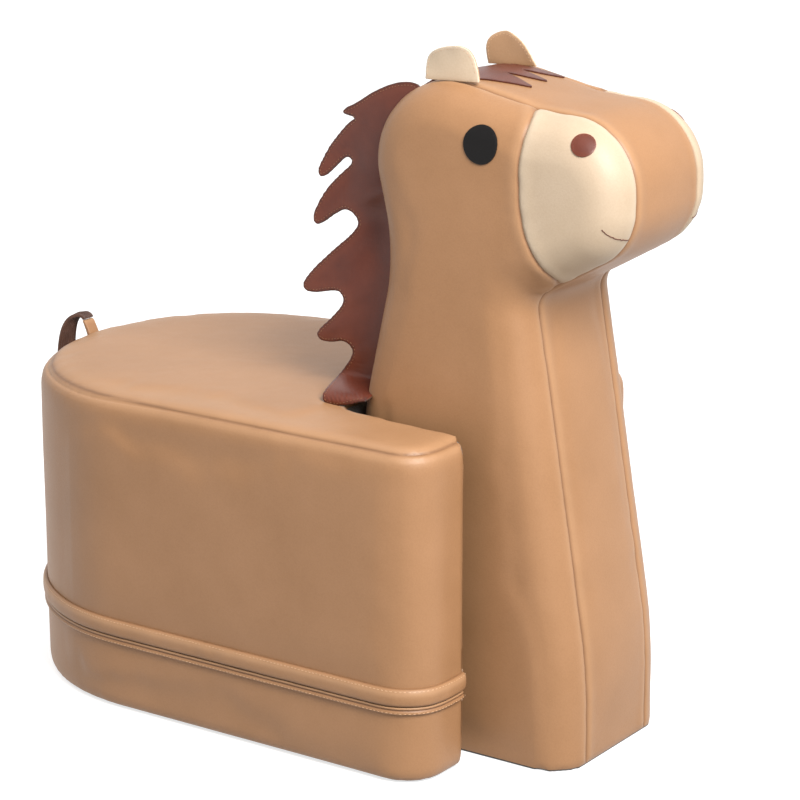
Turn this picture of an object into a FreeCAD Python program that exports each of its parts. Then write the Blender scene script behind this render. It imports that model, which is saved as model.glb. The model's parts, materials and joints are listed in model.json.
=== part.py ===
import FreeCAD, Part
import math
import os

# A child's padded ride-on seat in the form of a horse: a U-shaped seat block, and a neck and head
# block that stands in the slot between the seat's two arms.
# Frame: the origin is on the floor, under the centre of the seat's half-round rear end.
# +X points the way the horse faces, +Y is the horse's left, +Z is up. All sizes are in millimetres.

# seat block
seat_height = 300.0
seat_width = 364.0
flank_length = 335.0
arm_corner_radius = 38.0
top_edge_radius = 18.0
top_seam_share = 0.29
bottom_edge_radius = 8.0
leather = 1.4
foam_inset = 4.0
comfort_thickness = 22.0
skin_gap = 0.3

# neck and head block
neck_width = 170.0
neck_edge_radius = 32.0
seam_to_edge = 2.4
neck_reach = 88.0
crown_height = 591.0
nose_reach = 127.0
nape_setback = 126.0

# side view of the neck and head: reaches are ahead of the arms' fronts, setbacks behind them, drops
# below the crown, and each radius rounds its corner
foot_bend_height = 88.0
foot_bend_radius = 420.0
throat_reach = 32.5
throat_drop = 176.0
throat_radius = 18.0
chin_drop = 120.0
chin_radius = 50.0
nose_drop = 16.0
nose_radius = 62.0
brow_reach = 40.0
brow_drop = 17.0
brow_radius = 200.0
poll_setback = 45.0
poll_radius = 80.0
nape_radius = 70.0
nape_drop = 79.0
nape_low_radius = 60.0
withers_step = 18.0
withers_drop = 154.0
withers_radius = 150.0
heel_drop = 299.0
heel_radius = 260.0

# slot between the arms
slot_depth = 144.4
slot_corner_radius = 16.0
slot_side_gap = 10.0
slot_splay = 15.0
slot_rear_gap = 3.8
slot_run_out = 100.0
tape_thickness = 1.6
tape_width = 30.0
tape_past_seam = 3.4
tape_floor_clearance = 70.0
tape_top_clearance = 35.0

# concealed zip round the seat, listed from its own centre height
zip_height = 76.0
teeth_width = 5.0
teeth_proud = 0.6
zip_tape_thickness = 0.7
zip_tape_width = 14.0
zip_tape_split = 0.4
zip_tape_skin_gap = 0.05
flap_thickness = 2.2
flap_gap = 2.4
flap_drop = 3.6
flap_band = 5.5
hem_proud = 3.6
hem_height = 7.2
hem_clearance = 0.7
band_step = 1.0
band_gap = 4.5
slider_length = 10.0
slider_wall = 0.8
slider_clearance = 0.4
slider_setback = 46.0
stop_width = 4.0
stop_setback = 3.0

# applied pieces on the neck block
patch_thickness = 1.0
eye_diameter = 33.0
eye_setback = 5.0
eye_height = 546.5
nostril_diameter = 20.5
nostril_reach = 90.0
nostril_height = 556.0
# outlines on the head: reach ahead of the arms' fronts, then height above the crown
patch_edge = [(32, 9), (33, -66), (45, -129), (72, -191)]
mouth_run = [(109, -107), (119, -112.5), (134, -115)]
# three locks that fall forward from between the ears: reach, then distance from the centre plane
forelock_outline = [(-84, -36), (-48, -34), (3, -24), (-22, -10), (6, 2)]
forelock_outline += [(-24, 14), (2, 26), (-48, 34), (-84, 36)]
forelock_depth = 60.0
forelock_margin = 14.6
stitch_width = 1.6
stitch_thickness = 0.5

# mane, ears and tail
mane_thickness = 3.0
mane_clearance = 3.0
mane_top_drop = 11.0
mane_bulge = 0.12
mane_crown_reach = 36.0
mane_root_low = 30.0
mane_root_high = 50.0
mane_root_drop = 40.0
# the mane's six locks from crown to seat: (share of the mane's height, reach behind the nape) for each
# lock's tip and for the notch under it
mane_locks = [
    ((0.893, 45), (0.879, 35)),
    ((0.676, 75), (0.740, 42)),
    ((0.530, 79), (0.569, 35)),
    ((0.313, 86), (0.302, 43)),
    ((0.160, 71), (0.128, 36)),
    ((0.000, 71), (0.000, 22)),
]
ear_layer = 2.5
ear_length = 56.0
ear_height = 29.0
ear_centre_setback = 58.0
ear_clearance = 0.4
ear_slant_share = 0.07
ear_front_radius = 16.0
ear_rear_radius = 20.0
tail_tab_width = 14.0
tail_tab_thickness = 5.0
tail_tab_top = 6.5
tail_strip_width = 2.6
tail_strip_pitch = 3.2
tail_strip_count = 7
tail_strip_thickness = 2.4
tail_strip_start = 1.6
tail_arch_radius = 6.8
tail_length = 185.0
tail_taper = 8.0

# sizes that follow from the ones above
half_width = seat_width / 2.0
front_x = flank_length
slot_rear_x = front_x - slot_depth
neck_half = neck_width / 2.0
seam_half = neck_half - neck_edge_radius - seam_to_edge
tape_centre = seam_half + tape_past_seam - tape_width / 2.0
slot_half_rear = neck_half + slot_side_gap
slot_half_front = slot_half_rear + slot_splay
neck_rear_x = slot_rear_x + slot_rear_gap
top_seam_height = seat_height - top_seam_share * top_edge_radius
flap_low = zip_height - flap_drop
flap_high = flap_low + teeth_width + flap_drop + flap_band
hem_top = flap_low - hem_clearance
rear_x = -half_width
far_out = 1000.0


def point(x, y, z):
    return FreeCAD.Vector(x, y, z)


def save(name, shape):
    # one file for each piece
    shape.exportStep("parts/" + name + ".step")


def box(x_span, y_span, z_span):
    corner = point(x_span[0], y_span[0], z_span[0])
    return Part.makeBox(x_span[1] - x_span[0], y_span[1] - y_span[0], z_span[1] - z_span[0], corner)


def mirrored(shape):
    # the same piece on the other side of the centre plane
    return shape.mirror(point(0, 0, 0), point(0, 1, 0))


def tangent_run(before, corner, after):
    # unit directions out of a corner along its two sides
    first = (before - corner).normalize()
    second = (after - corner).normalize()
    return first, second


def rounded_face(corners, place):
    # a closed outline of straight runs, each corner rounded to its own radius
    # corners are (u, v, radius), and place turns u and v into a point in space
    count = len(corners)
    spots = [FreeCAD.Vector(u, v, 0) for u, v, radius in corners]
    edges = []
    starts = []
    ends = []
    for index, (u, v, radius) in enumerate(corners):
        corner = spots[index]
        first, second = tangent_run(spots[index - 1], corner, spots[(index + 1) % count])
        half_angle = first.getAngle(second) / 2.0
        run = radius / math.tan(half_angle)
        starts.append(corner + first * run)
        ends.append(corner + second * run)
        if radius > 0:
            bisector = (first + second).normalize()
            middle = corner + bisector * (radius / math.sin(half_angle) - radius)
            arc = Part.Arc(place(starts[-1]), place(middle), place(ends[-1]))
            edges.append(arc.toShape())
    outline = []
    arcs = iter(edges)
    for index, (u, v, radius) in enumerate(corners):
        if radius > 0:
            outline.append(next(arcs))
        leaving = ends[index]
        arriving = starts[(index + 1) % count]
        if (arriving - leaving).Length > 1e-6:
            outline.append(Part.makeLine(place(leaving), place(arriving)))
    return Part.Face(Part.Wire(outline))


def on_plan(height):
    return lambda spot: point(spot.x, spot.y, height)


def on_side(side_y):
    return lambda spot: point(spot.x, side_y, spot.y)


# ---------- seat block ----------

def seat_prism(inset, low, high):
    # the seat's outer plan, without its slot: two straight flanks and a half-round rear
    front = front_x - inset
    side = half_width - inset
    corner = arm_corner_radius - inset
    corners = [(front, -side, corner), (front, side, corner), (-side, side, side), (-side, -side, side)]
    return rounded_face(corners, on_plan(low)).extrude(point(0, 0, high - low))


def slot_prism(growth, low, high, square=False):
    # the open-fronted slot that the neck stands in; its walls splay towards the front, and its rear
    # corners are rounded in the cover but cut square in the foam
    rear = slot_rear_x - growth
    half_rear = slot_half_rear + growth
    reach = front_x + slot_run_out
    half_reach = half_rear + slot_splay * (reach - rear) / slot_depth
    radius = 0 if square else slot_corner_radius + growth
    corners = [(reach, -half_reach, 0), (reach, half_reach, 0)]
    corners += [(rear, half_rear, radius), (rear, -half_rear, radius)]
    return rounded_face(corners, on_plan(low)).extrude(point(0, 0, high - low))


def outline_edges(shape, height):
    return [edge for edge in shape.Edges
            if abs(edge.BoundBox.ZMin - height) < 1e-4 and abs(edge.BoundBox.ZMax - height) < 1e-4]


def seat_body(inset):
    # the whole block with its top and bottom edges rounded, still without the slot
    block = seat_prism(inset, inset, seat_height - inset)
    block = block.makeFillet(top_edge_radius - inset, outline_edges(block, seat_height - inset))
    return block.makeFillet(bottom_edge_radius - inset, outline_edges(block, inset))


def zone(low, high):
    return box((-far_out, far_out), (-far_out, far_out), (low, high))


def ring(outer_inset, inner_inset, low, high, slot_growth=0.0):
    # a band that follows the seat's outside from one arm's inner edge round to the other's
    band = seat_prism(outer_inset, low, high).cut(seat_prism(inner_inset, low, high))
    return band.cut(slot_prism(slot_growth, low - 1, high + 1))


def seat_cover():
    outside = seat_body(0.0)
    inside = seat_body(leather).cut(slot_prism(leather, -1, seat_height + 1))
    shell = outside.cut(slot_prism(0.0, -1, seat_height + 1)).cut(inside)
    lining_zone = slot_prism(leather, leather, top_seam_height)
    bottom_zone = seat_prism(bottom_edge_radius + 1, -1, leather)
    wall = shell.cut(slot_prism(leather, -1, seat_height + 1))
    save("seat_top_panel", shell.common(zone(top_seam_height, seat_height + 1)))
    save("seat_side_band", wall.common(zone(zip_height + band_gap, top_seam_height)))
    save("seat_lower_band", wall.cut(bottom_zone).common(zone(-1, zip_height - band_gap - band_step)))
    save("seat_bottom_panel", Part.makeCompound(list(in_three(shell.common(bottom_zone)))))
    save("slot_lining", shell.common(lining_zone).cut(bottom_zone))


def in_three(shape):
    # the block behind the slot, and the arm at each side of it
    split_x = slot_rear_x - leather - skin_gap
    behind = shape.common(box((-far_out, split_x), (-far_out, far_out), (-1, far_out)))
    right = shape.common(box((split_x, far_out), (-far_out, 0), (-1, far_out)))
    left = shape.common(box((split_x, far_out), (0, far_out), (-1, far_out)))
    return behind, right, left


def seat_foam():
    # a half-round rear block, an arm at each side of the slot, and a softer layer over all three
    core_top = seat_height - leather - skin_gap - comfort_thickness
    slot = slot_prism(leather + skin_gap, -1, seat_height + 1, square=True)
    inside = seat_body(foam_inset).cut(slot)
    behind, right, left = in_three(inside.common(zone(leather + skin_gap, core_top)))
    save("seat_foam_rear", behind)
    save("seat_foam_arm_right", right)
    save("seat_foam_arm_left", left)
    comfort = inside.common(zone(core_top + skin_gap, seat_height))
    save("seat_comfort_layer", Part.makeCompound(list(in_three(comfort))))


def zip_closure():
    # the zip that opens the seat's cover, under a flap that hides it
    upper_start = zip_height + zip_tape_split
    lower_end = zip_height - zip_tape_split
    tape_out = leather + zip_tape_skin_gap
    tape_in = tape_out + zip_tape_thickness
    tape_clear = leather + zip_tape_thickness
    upper = ring(tape_out, tape_in, upper_start, upper_start + zip_tape_width, tape_clear)
    lower = ring(tape_out, tape_in, lower_end - zip_tape_width, lower_end, tape_clear)
    save("zip_tape_upper", upper)
    save("zip_tape_lower", lower)
    half_teeth = teeth_width / 2.0
    coil = ring(-teeth_proud, leather, zip_height - half_teeth, zip_height + half_teeth, tape_clear)
    inner = slot_half_front + stop_setback
    outer = inner + stop_width
    front = (front_x - arm_corner_radius, far_out)
    rows = (zip_height - half_teeth, zip_height + half_teeth)
    stop_zone = box(front, (inner, outer), rows)
    end_zone = box(front, (-outer, outer), rows)
    save("zip_teeth", coil.cut(end_zone))
    stop = coil.common(stop_zone)
    save("zip_end_stops", Part.makeCompound([stop, mirrored(stop)]))


def zip_flaps():
    # a double strip of leather that hangs over the teeth, and the narrow hem below it
    hang = ring(-flap_gap - flap_thickness, -flap_gap, flap_low, flap_high)
    root = ring(-flap_gap, 0.0, flap_high - flap_band, flap_high)
    save("upper_zip_flap", hang.fuse(root).removeSplitter())
    save("lower_zip_hem", ring(-hem_proud, 0.0, hem_top - hem_height, hem_top))


def zip_slider():
    # a channel that rides over the teeth on the straight left flank, near the front
    start = front_x - slider_setback - slider_length
    surface = half_width + teeth_proud
    top = surface + slider_clearance + slider_wall
    half_opening = teeth_width / 2.0 + slider_clearance
    half_outside = half_opening + slider_wall
    span = (start, start + slider_length)
    low_rail = half_width - leather + slider_clearance
    block = box(span, (low_rail, top), (zip_height - half_outside, zip_height + half_outside))
    channel = box((start - 1, start + slider_length + 1), (low_rail - 1, surface + slider_clearance),
                  (zip_height - half_opening, zip_height + half_opening))
    save("zip_slider", block.cut(channel))


def slot_tapes():
    # loop strips on the slot's rear wall and hook strips on the neck that meet them
    low = tape_floor_clearance
    high = seat_height - tape_top_clearance
    loops = []
    hooks = []
    for side in (-1, 1):
        centre = side * tape_centre
        span = (centre - tape_width / 2.0, centre + tape_width / 2.0)
        loops.append(box((slot_rear_x, slot_rear_x + tape_thickness), span, (low, high)))
        hooks.append(box((neck_rear_x - tape_thickness, neck_rear_x), span, (low, high)))
    save("slot_loop_tapes", Part.makeCompound(loops))
    save("neck_hook_tapes", Part.makeCompound(hooks))


# ---------- neck and head block ----------

def neck_corners():
    # the side view of the neck and head: (x, z, corner radius), from the front foot round to the rear
    nape_x = front_x - nape_setback
    return [
        (front_x + neck_reach, 0, 0),
        (front_x + neck_reach, foot_bend_height, foot_bend_radius),
        (front_x + throat_reach, crown_height - throat_drop, throat_radius),
        (front_x + nose_reach, crown_height - chin_drop, chin_radius),
        (front_x + nose_reach, crown_height - nose_drop, nose_radius),
        (front_x + brow_reach, crown_height - brow_drop, brow_radius),
        (front_x - poll_setback, crown_height, poll_radius),
        (nape_x, crown_height, nape_radius),
        (nape_x, crown_height - nape_drop, nape_low_radius),
        (nape_x + withers_step, crown_height - withers_drop, withers_radius),
        (neck_rear_x, crown_height - heel_drop, heel_radius),
        (neck_rear_x, 0, 0),
    ]


def neck_prism(inset, half):
    face = rounded_face(neck_corners(), on_side(-half))
    if inset != 0:
        face = Part.Face(face.OuterWire.makeOffset2D(-inset))
    return face.extrude(point(0, 2 * half, 0))


def neck_body(inset):
    # the block with its side edges well rounded, and its foot a little
    half = neck_half - inset
    block = neck_prism(inset, half)
    side_edges = [edge for edge in block.Edges
                  if abs(edge.BoundBox.YMax - edge.BoundBox.YMin) < 1e-4 and edge.BoundBox.ZMax > 10]
    return block.makeFillet(neck_edge_radius - inset, side_edges)


def neck_cover(outside, inside):
    shell = outside.cut(inside)
    middle = box((-far_out, far_out), (-seam_half, seam_half), (leather, far_out))
    foot = zone(-1, leather)
    crown_x = front_x - ear_centre_setback
    gusset = shell.common(middle)
    ahead = box((crown_x, far_out), (-far_out, far_out), (-1, far_out))
    save("neck_front_gusset", gusset.common(ahead))
    save("neck_rear_gusset", gusset.cut(ahead))
    save("neck_bottom_panel", shell.common(foot))
    side = shell.cut(foot).common(box((-far_out, far_out), (-far_out, -seam_half), (-1, far_out)))
    patch = side.common(muzzle_zone())
    panel = side.cut(muzzle_zone())
    save("right_side_panel", panel)
    save("left_side_panel", mirrored(panel))
    save("right_muzzle_patch", patch)
    save("left_muzzle_patch", mirrored(patch))


def muzzle_zone():
    # everything ahead of the muzzle's curved rear edge, on the right side
    side = -far_out
    spots = [point(front_x + reach, side, crown_height + rise) for reach, rise in patch_edge]
    edge = Part.BSplineCurve()
    edge.interpolate(spots)
    low = point(far_out, side, spots[-1].z)
    high = point(far_out, side, spots[0].z)
    outline = [edge.toShape()]
    outline.append(Part.makeLine(spots[-1], low))
    outline.append(Part.makeLine(low, high))
    outline.append(Part.makeLine(high, spots[0]))
    return Part.Face(Part.Wire(outline)).extrude(point(0, far_out, 0))


def side_disc(layer, x, z, diameter):
    # a disc of leather applied to the right side panel, following its curve
    cutter = Part.makeCylinder(diameter / 2.0, far_out, point(x, -far_out, z), point(0, 1, 0))
    return layer.common(cutter)


def face_details(outside):
    layer = neck_body(-patch_thickness).cut(outside)
    eye = side_disc(layer, front_x - eye_setback, eye_height, eye_diameter)
    nostril = side_disc(layer, front_x + nostril_reach, nostril_height, nostril_diameter)
    thread = neck_body(-stitch_thickness).cut(outside)
    mouth = thread.common(mouth_zone())
    for name, piece in (("eye", eye), ("nostril", nostril), ("mouth_stitch", mouth)):
        save("right_" + name, piece)
        save("left_" + name, mirrored(piece))
    save("forelock", layer.common(forelock_zone()))


def mouth_zone():
    # a short curved line of stitching that runs forward to the muzzle's seam
    side = -far_out
    start, middle, end = [point(front_x + reach, side, crown_height + rise) for reach, rise in mouth_run]
    lift = point(0, 0, stitch_width)
    upper = Part.Arc(start + lift, middle + lift, end + lift).toShape()
    lower = Part.Arc(start, middle, end).toShape()
    wire = Part.Wire([upper, Part.makeLine(end + lift, end), lower, Part.makeLine(start, start + lift)])
    return Part.Face(wire).extrude(point(0, far_out - seam_half, 0))


def forelock_zone():
    # the forelock's outline, which reaches from seam to seam at its root
    widest = max(side_y for reach, side_y in forelock_outline)
    share = (seam_half - forelock_margin) / widest
    low = crown_height - forelock_depth
    flat = [point(front_x + reach, side_y * share, low) for reach, side_y in forelock_outline]
    return Part.Face(Part.makePolygon(flat + [flat[0]])).extrude(point(0, 0, 2 * forelock_depth))


def mane_outline(side_y):
    # the free edge runs from crown to seat, and the root edge runs inside the neck
    low = seat_height + mane_clearance
    span = crown_height - mane_top_drop - low
    nape_x = front_x - nape_setback

    def spot(share, reach):
        return point(nape_x - reach, side_y, low + share * span)

    top = point(nape_x + mane_crown_reach, side_y, low + span)
    edges = []
    last = top
    for tip, notch in mane_locks:
        tip_spot = spot(*tip)
        middle = (last + tip_spot) * 0.5
        along = (tip_spot - last).normalize()
        out = point(along.z, 0, -along.x) * (tip_spot - last).Length * mane_bulge
        edges.append(Part.Arc(last, middle + out, tip_spot).toShape())
        last = spot(*notch)
        edges.append(Part.makeLine(tip_spot, last))
    inside_low = point(nape_x + mane_root_low, side_y, low)
    inside_high = point(nape_x + mane_root_high, side_y, low + span - mane_root_drop)
    edges.append(Part.makeLine(last, inside_low))
    edges.append(Part.makeLine(inside_low, inside_high))
    edges.append(Part.makeLine(inside_high, top))
    return Part.Face(Part.Wire(edges))


def manes(outside):
    # a double layer of leather sewn into each rear side seam
    low_side = -seam_half - mane_thickness / 2.0
    flap = mane_outline(low_side).extrude(point(0, mane_thickness, 0)).cut(outside)
    save("right_mane", flap)
    save("left_mane", mirrored(flap))


def ear_layer_shape(side_y, thickness):
    # a rounded ear outline, standing on its hinge line
    rear = front_x - ear_centre_setback - ear_length / 2.0
    front = rear + ear_length
    low = ear_axis_height()
    high = low + ear_height
    slant = ear_length * ear_slant_share
    corners = [(rear, low, 0), (front, low, 0)]
    corners += [(front - slant, high, ear_front_radius), (rear + slant, high, ear_rear_radius)]
    return rounded_face(corners, on_side(side_y)).extrude(point(0, thickness, 0))


def ear_axis_height():
    return crown_height + ear_clearance + ear_layer


def ears():
    # two layers of leather each, with a rounded root that turns on the seam
    rear = front_x - ear_centre_setback - ear_length / 2.0
    root_start = point(rear, -seam_half, ear_axis_height())
    root = Part.makeCylinder(ear_layer, ear_length, root_start, point(1, 0, 0))
    below = box((-far_out, far_out), (-far_out, far_out), (0, ear_axis_height()))
    root = root.common(below)
    outer_half = box((-far_out, far_out), (-far_out, -seam_half), (0, far_out))
    outer = ear_layer_shape(-seam_half - ear_layer, ear_layer).fuse(root.common(outer_half)).removeSplitter()
    inner = ear_layer_shape(-seam_half, ear_layer).fuse(root.cut(outer_half)).removeSplitter()
    save("right_ear_outer", outer)
    save("right_ear_inner", inner)
    save("left_ear_outer", mirrored(outer))
    save("left_ear_inner", mirrored(inner))


def neck_block():
    outside = neck_body(0.0)
    inside = neck_body(leather)
    neck_cover(outside, inside)
    save("neck_foam_core", neck_body(leather + skin_gap))
    face_details(outside)
    manes(outside)


# ---------- tail ----------

def tail_leg_x():
    # the tab stands on the seam of the rear rim
    return rear_x + top_seam_share * top_edge_radius


def tail_strip(index):
    # one strip: up from the tab, over in a half-round arch, and down behind the seat
    from_middle = abs(index - (tail_strip_count - 1) / 2.0)
    side_y = (index - (tail_strip_count - 1) / 2.0) * tail_strip_pitch - tail_strip_width / 2.0
    outer = tail_arch_radius
    inner = outer - tail_strip_thickness
    axis_x = tail_leg_x() + tail_strip_thickness / 2.0 - outer
    start = seat_height + tail_tab_top + tail_strip_start
    drop = tail_length - tail_taper * from_middle
    axis_point = point(axis_x, side_y, start)
    arch = Part.makeCylinder(outer, tail_strip_width, axis_point, point(0, 1, 0))
    arch = arch.cut(Part.makeCylinder(inner, tail_strip_width, axis_point, point(0, 1, 0)))
    arch = arch.common(box((-far_out, far_out), (-far_out, far_out), (start, far_out)))
    hang = box((axis_x - outer, axis_x - inner), (side_y, side_y + tail_strip_width), (start - drop, start))
    return arch.fuse(hang).removeSplitter()


def tail():
    # a folded leather tab at the rear rim grips a fringe of narrow strips
    strips = [tail_strip(index) for index in range(tail_strip_count)]
    save("tail_strips", Part.makeCompound(strips))
    half = tail_tab_thickness / 2.0
    span = (tail_leg_x() - half, tail_leg_x() + half)
    width = (-tail_tab_width / 2.0, tail_tab_width / 2.0)
    tab = box(span, width, (seat_height - top_edge_radius, seat_height + tail_tab_top))
    save("tail_tab", tab.cut(seat_body(0.0)))


os.makedirs("parts", exist_ok=True)
seat_cover()
seat_foam()
zip_closure()
zip_flaps()
zip_slider()
slot_tapes()
neck_block()
ears()
tail()
print("pieces written")
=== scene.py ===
import json
import math

import bmesh
import bpy
from mathutils import Matrix, Vector, noise, kdtree
from mathutils.bvhtree import BVHTree

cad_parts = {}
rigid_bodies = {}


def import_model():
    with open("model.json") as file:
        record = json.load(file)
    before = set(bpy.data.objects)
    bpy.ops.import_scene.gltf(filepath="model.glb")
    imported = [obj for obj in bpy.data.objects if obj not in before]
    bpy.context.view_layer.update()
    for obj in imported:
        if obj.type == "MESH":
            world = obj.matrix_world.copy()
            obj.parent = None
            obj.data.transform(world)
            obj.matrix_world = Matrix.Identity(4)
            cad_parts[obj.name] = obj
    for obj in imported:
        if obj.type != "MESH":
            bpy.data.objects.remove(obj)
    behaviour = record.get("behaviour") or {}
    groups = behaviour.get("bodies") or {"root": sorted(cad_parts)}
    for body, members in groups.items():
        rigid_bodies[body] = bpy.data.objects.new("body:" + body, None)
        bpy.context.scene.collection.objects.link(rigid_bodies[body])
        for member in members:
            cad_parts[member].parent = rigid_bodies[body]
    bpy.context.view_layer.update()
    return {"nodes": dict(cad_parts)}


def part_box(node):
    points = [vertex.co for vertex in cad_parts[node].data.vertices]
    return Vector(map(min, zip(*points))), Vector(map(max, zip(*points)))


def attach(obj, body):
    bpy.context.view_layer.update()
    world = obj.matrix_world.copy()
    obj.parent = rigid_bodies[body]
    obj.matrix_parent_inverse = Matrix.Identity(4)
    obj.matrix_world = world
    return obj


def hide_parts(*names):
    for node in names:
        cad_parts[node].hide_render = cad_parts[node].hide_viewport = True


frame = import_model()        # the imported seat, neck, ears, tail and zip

mm = 0.001
sides = {"right": -1, "left": 1}


# camera and studio

camera = {
    "place": Vector((1.6251, -2.0769, 0.9953)),
    "looksAt": Vector((0.1896, 0, 0.2837)),
    "lens": 130.08,
    "sensor": 36,
}
studio = {
    "tentFront": 0.5,          # a pale tent all round, brighter behind and above
    "tentBack": 1.25,
    "tentWay": (-0.42, 0.72, 0.55),
    "keyPlace": Vector((1.75, -0.85, 1.8)),
    "keySize": 1.1,
    "keyPower": 94,
    "floorSize": 30,
    "floorGlow": 0.7,           # the floor is a lit acrylic table
}


def clearPick():
    if bpy.context.object and bpy.context.object.mode != "OBJECT":
        bpy.ops.object.mode_set(mode="OBJECT")
    bpy.ops.object.select_all(action="DESELECT")


def aimed(item, target):
    item.rotation_euler = (target - item.location).to_track_quat("-Z", "Y").to_euler()


clearPick()
bpy.ops.object.camera_add(location=camera["place"])
lookout = bpy.context.object
lookout.name = "camera"
lookout.data.lens = camera["lens"]
lookout.data.sensor_width = camera["sensor"]
aimed(lookout, camera["looksAt"])
bpy.context.scene.camera = lookout
bpy.context.scene.view_settings.view_transform = "Standard"

clearPick()
bpy.ops.object.light_add(type="AREA", location=studio["keyPlace"])
keyLight = bpy.context.object
keyLight.name = "keyLight"
keyLight.data.size = studio["keySize"]
keyLight.data.energy = studio["keyPower"]
aimed(keyLight, Vector((0.2, 0, 0.3)))
print("camera and key light placed")


# materials

def hexColour(text):
    # sRGB hex to the linear values that a shader works in
    values = [int(text[i:i + 2], 16) / 255 for i in (1, 3, 5)]
    linear = [v / 12.92 if v <= 0.04045 else ((v + 0.055) / 1.055) ** 2.4 for v in values]
    return (*linear, 1)


def addNode(mat, kind, settings, links=None):
    # settings are properties or input values, links say which node and output feed an input
    node = mat.node_tree.nodes.new(kind)
    for name, value in settings.items():
        if name == "stops":
            for index, (place, colour) in enumerate(value):
                mark = node.color_ramp.elements[index] if index < 2 else node.color_ramp.elements.new(place)
                mark.position = place
                mark.color = colour
        elif isinstance(name, int) or name in node.inputs:
            node.inputs[name].default_value = value
        else:
            setattr(node, name, value)
    for name, (source, output) in (links or {}).items():
        mat.node_tree.links.new(source.outputs[output], node.inputs[name])
    return node


def newMaterial(name):
    mat = bpy.data.materials.new(name)
    mat.use_nodes = True
    mat.node_tree.nodes.clear()
    return mat


def shaded(mat, settings, links):
    # the surface shader and its output
    shader = addNode(mat, "ShaderNodeBsdfPrincipled", settings, links)
    addNode(mat, "ShaderNodeOutputMaterial", {}, {"Surface": (shader, "BSDF")})
    return mat


def leatherette(name, look):
    # polyurethane skin embossed with a pebble: a fine broken highlight; the pebble's pits and the seams painted darker
    # as shade, the rolls and edges painted paler as highlight
    mat = newMaterial(name)
    place = addNode(mat, "ShaderNodeTexCoord", {})
    pebble = addNode(mat, "ShaderNodeTexVoronoi", {"feature": "SMOOTH_F1", "Scale": 1 / look["pebble"]},
                     {"Vector": (place, "Object")})
    pores = addNode(mat, "ShaderNodeTexNoise", {"Scale": 2.3 / look["pebble"], "Detail": 3},
                    {"Vector": (place, "Object")})
    cloud = addNode(mat, "ShaderNodeTexNoise", {"Scale": 1 / look["cloud"], "Detail": 4, "Roughness": 0.6},
                    {"Vector": (place, "Object")})
    tone = addNode(mat, "ShaderNodeValToRGB",
                   {"stops": [(0.3, hexColour(look["dark"])), (0.7, hexColour(look["light"]))]},
                   {"Fac": (cloud, "Fac")})
    # the pebble's pits painted darker towards the crease colour: painted shade
    pitShade = addNode(mat, "ShaderNodeMapRange", {"From Min": 0.1, "From Max": 0.75, "To Min": 0, "To Max": look["pitShade"]},
                  {"Value": (pebble, "Distance")})
    pitShaded = addNode(mat, "ShaderNodeMix", {"data_type": "RGBA", 7: hexColour(look["creaseShade"])},
                       {0: (pitShade, "Result"), 6: (tone, "Color")})
    # seams and creases painted darker by the piece's crease marks: painted shade
    seam = addNode(mat, "ShaderNodeAttribute", {"attribute_name": "creaseShade"})
    seamShadeShare = addNode(mat, "ShaderNodeMath", {"operation": "MULTIPLY", 1: look["seamShade"]}, {0: (seam, "Fac")})
    sunk = addNode(mat, "ShaderNodeMix", {"data_type": "RGBA", 7: hexColour(look["creaseShade"])},
                   {0: (seamShadeShare, "Value"), 6: (pitShaded, 2)})
    # the rolls beside seams and the edges painted paler: painted highlight
    highlightStrength = addNode(mat, "ShaderNodeAttribute", {"attribute_name": "highlightMask"})
    highlightAmount = addNode(mat, "ShaderNodeMath", {"operation": "MULTIPLY", 1: look["highlightStrength"]}, {0: (highlightStrength, "Fac")})
    highlightPaint = addNode(mat, "ShaderNodeMix", {"data_type": "RGBA", 7: hexColour(look["highlightPaint"])},
                   {0: (highlightAmount, "Value"), 6: (sunk, 2)})
    gloss = addNode(mat, "ShaderNodeMapRange",
                    {"From Min": 0.3, "From Max": 0.7, "To Min": look["rough"] - 0.06, "To Max": look["rough"] + 0.08},
                    {"Value": (pores, "Fac")})
    relief = addNode(mat, "ShaderNodeMath", {"operation": "MULTIPLY_ADD", 1: -0.8}, {0: (pebble, "Distance"),
                                                                                  2: (pores, "Fac")})
    bump = addNode(mat, "ShaderNodeBump", {"Strength": look["bump"], "Distance": look["pebble"] * 0.25},
                   {"Height": (relief, "Value")})
    return shaded(mat, {"IOR": 1.47, "Specular IOR Level": look["specular"], "Sheen Weight": look["sheen"],
                        "Sheen Roughness": 0.5},
                  {"Base Color": (highlightPaint, 2), "Roughness": (gloss, "Result"), "Normal": (bump, "Normal")})


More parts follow.
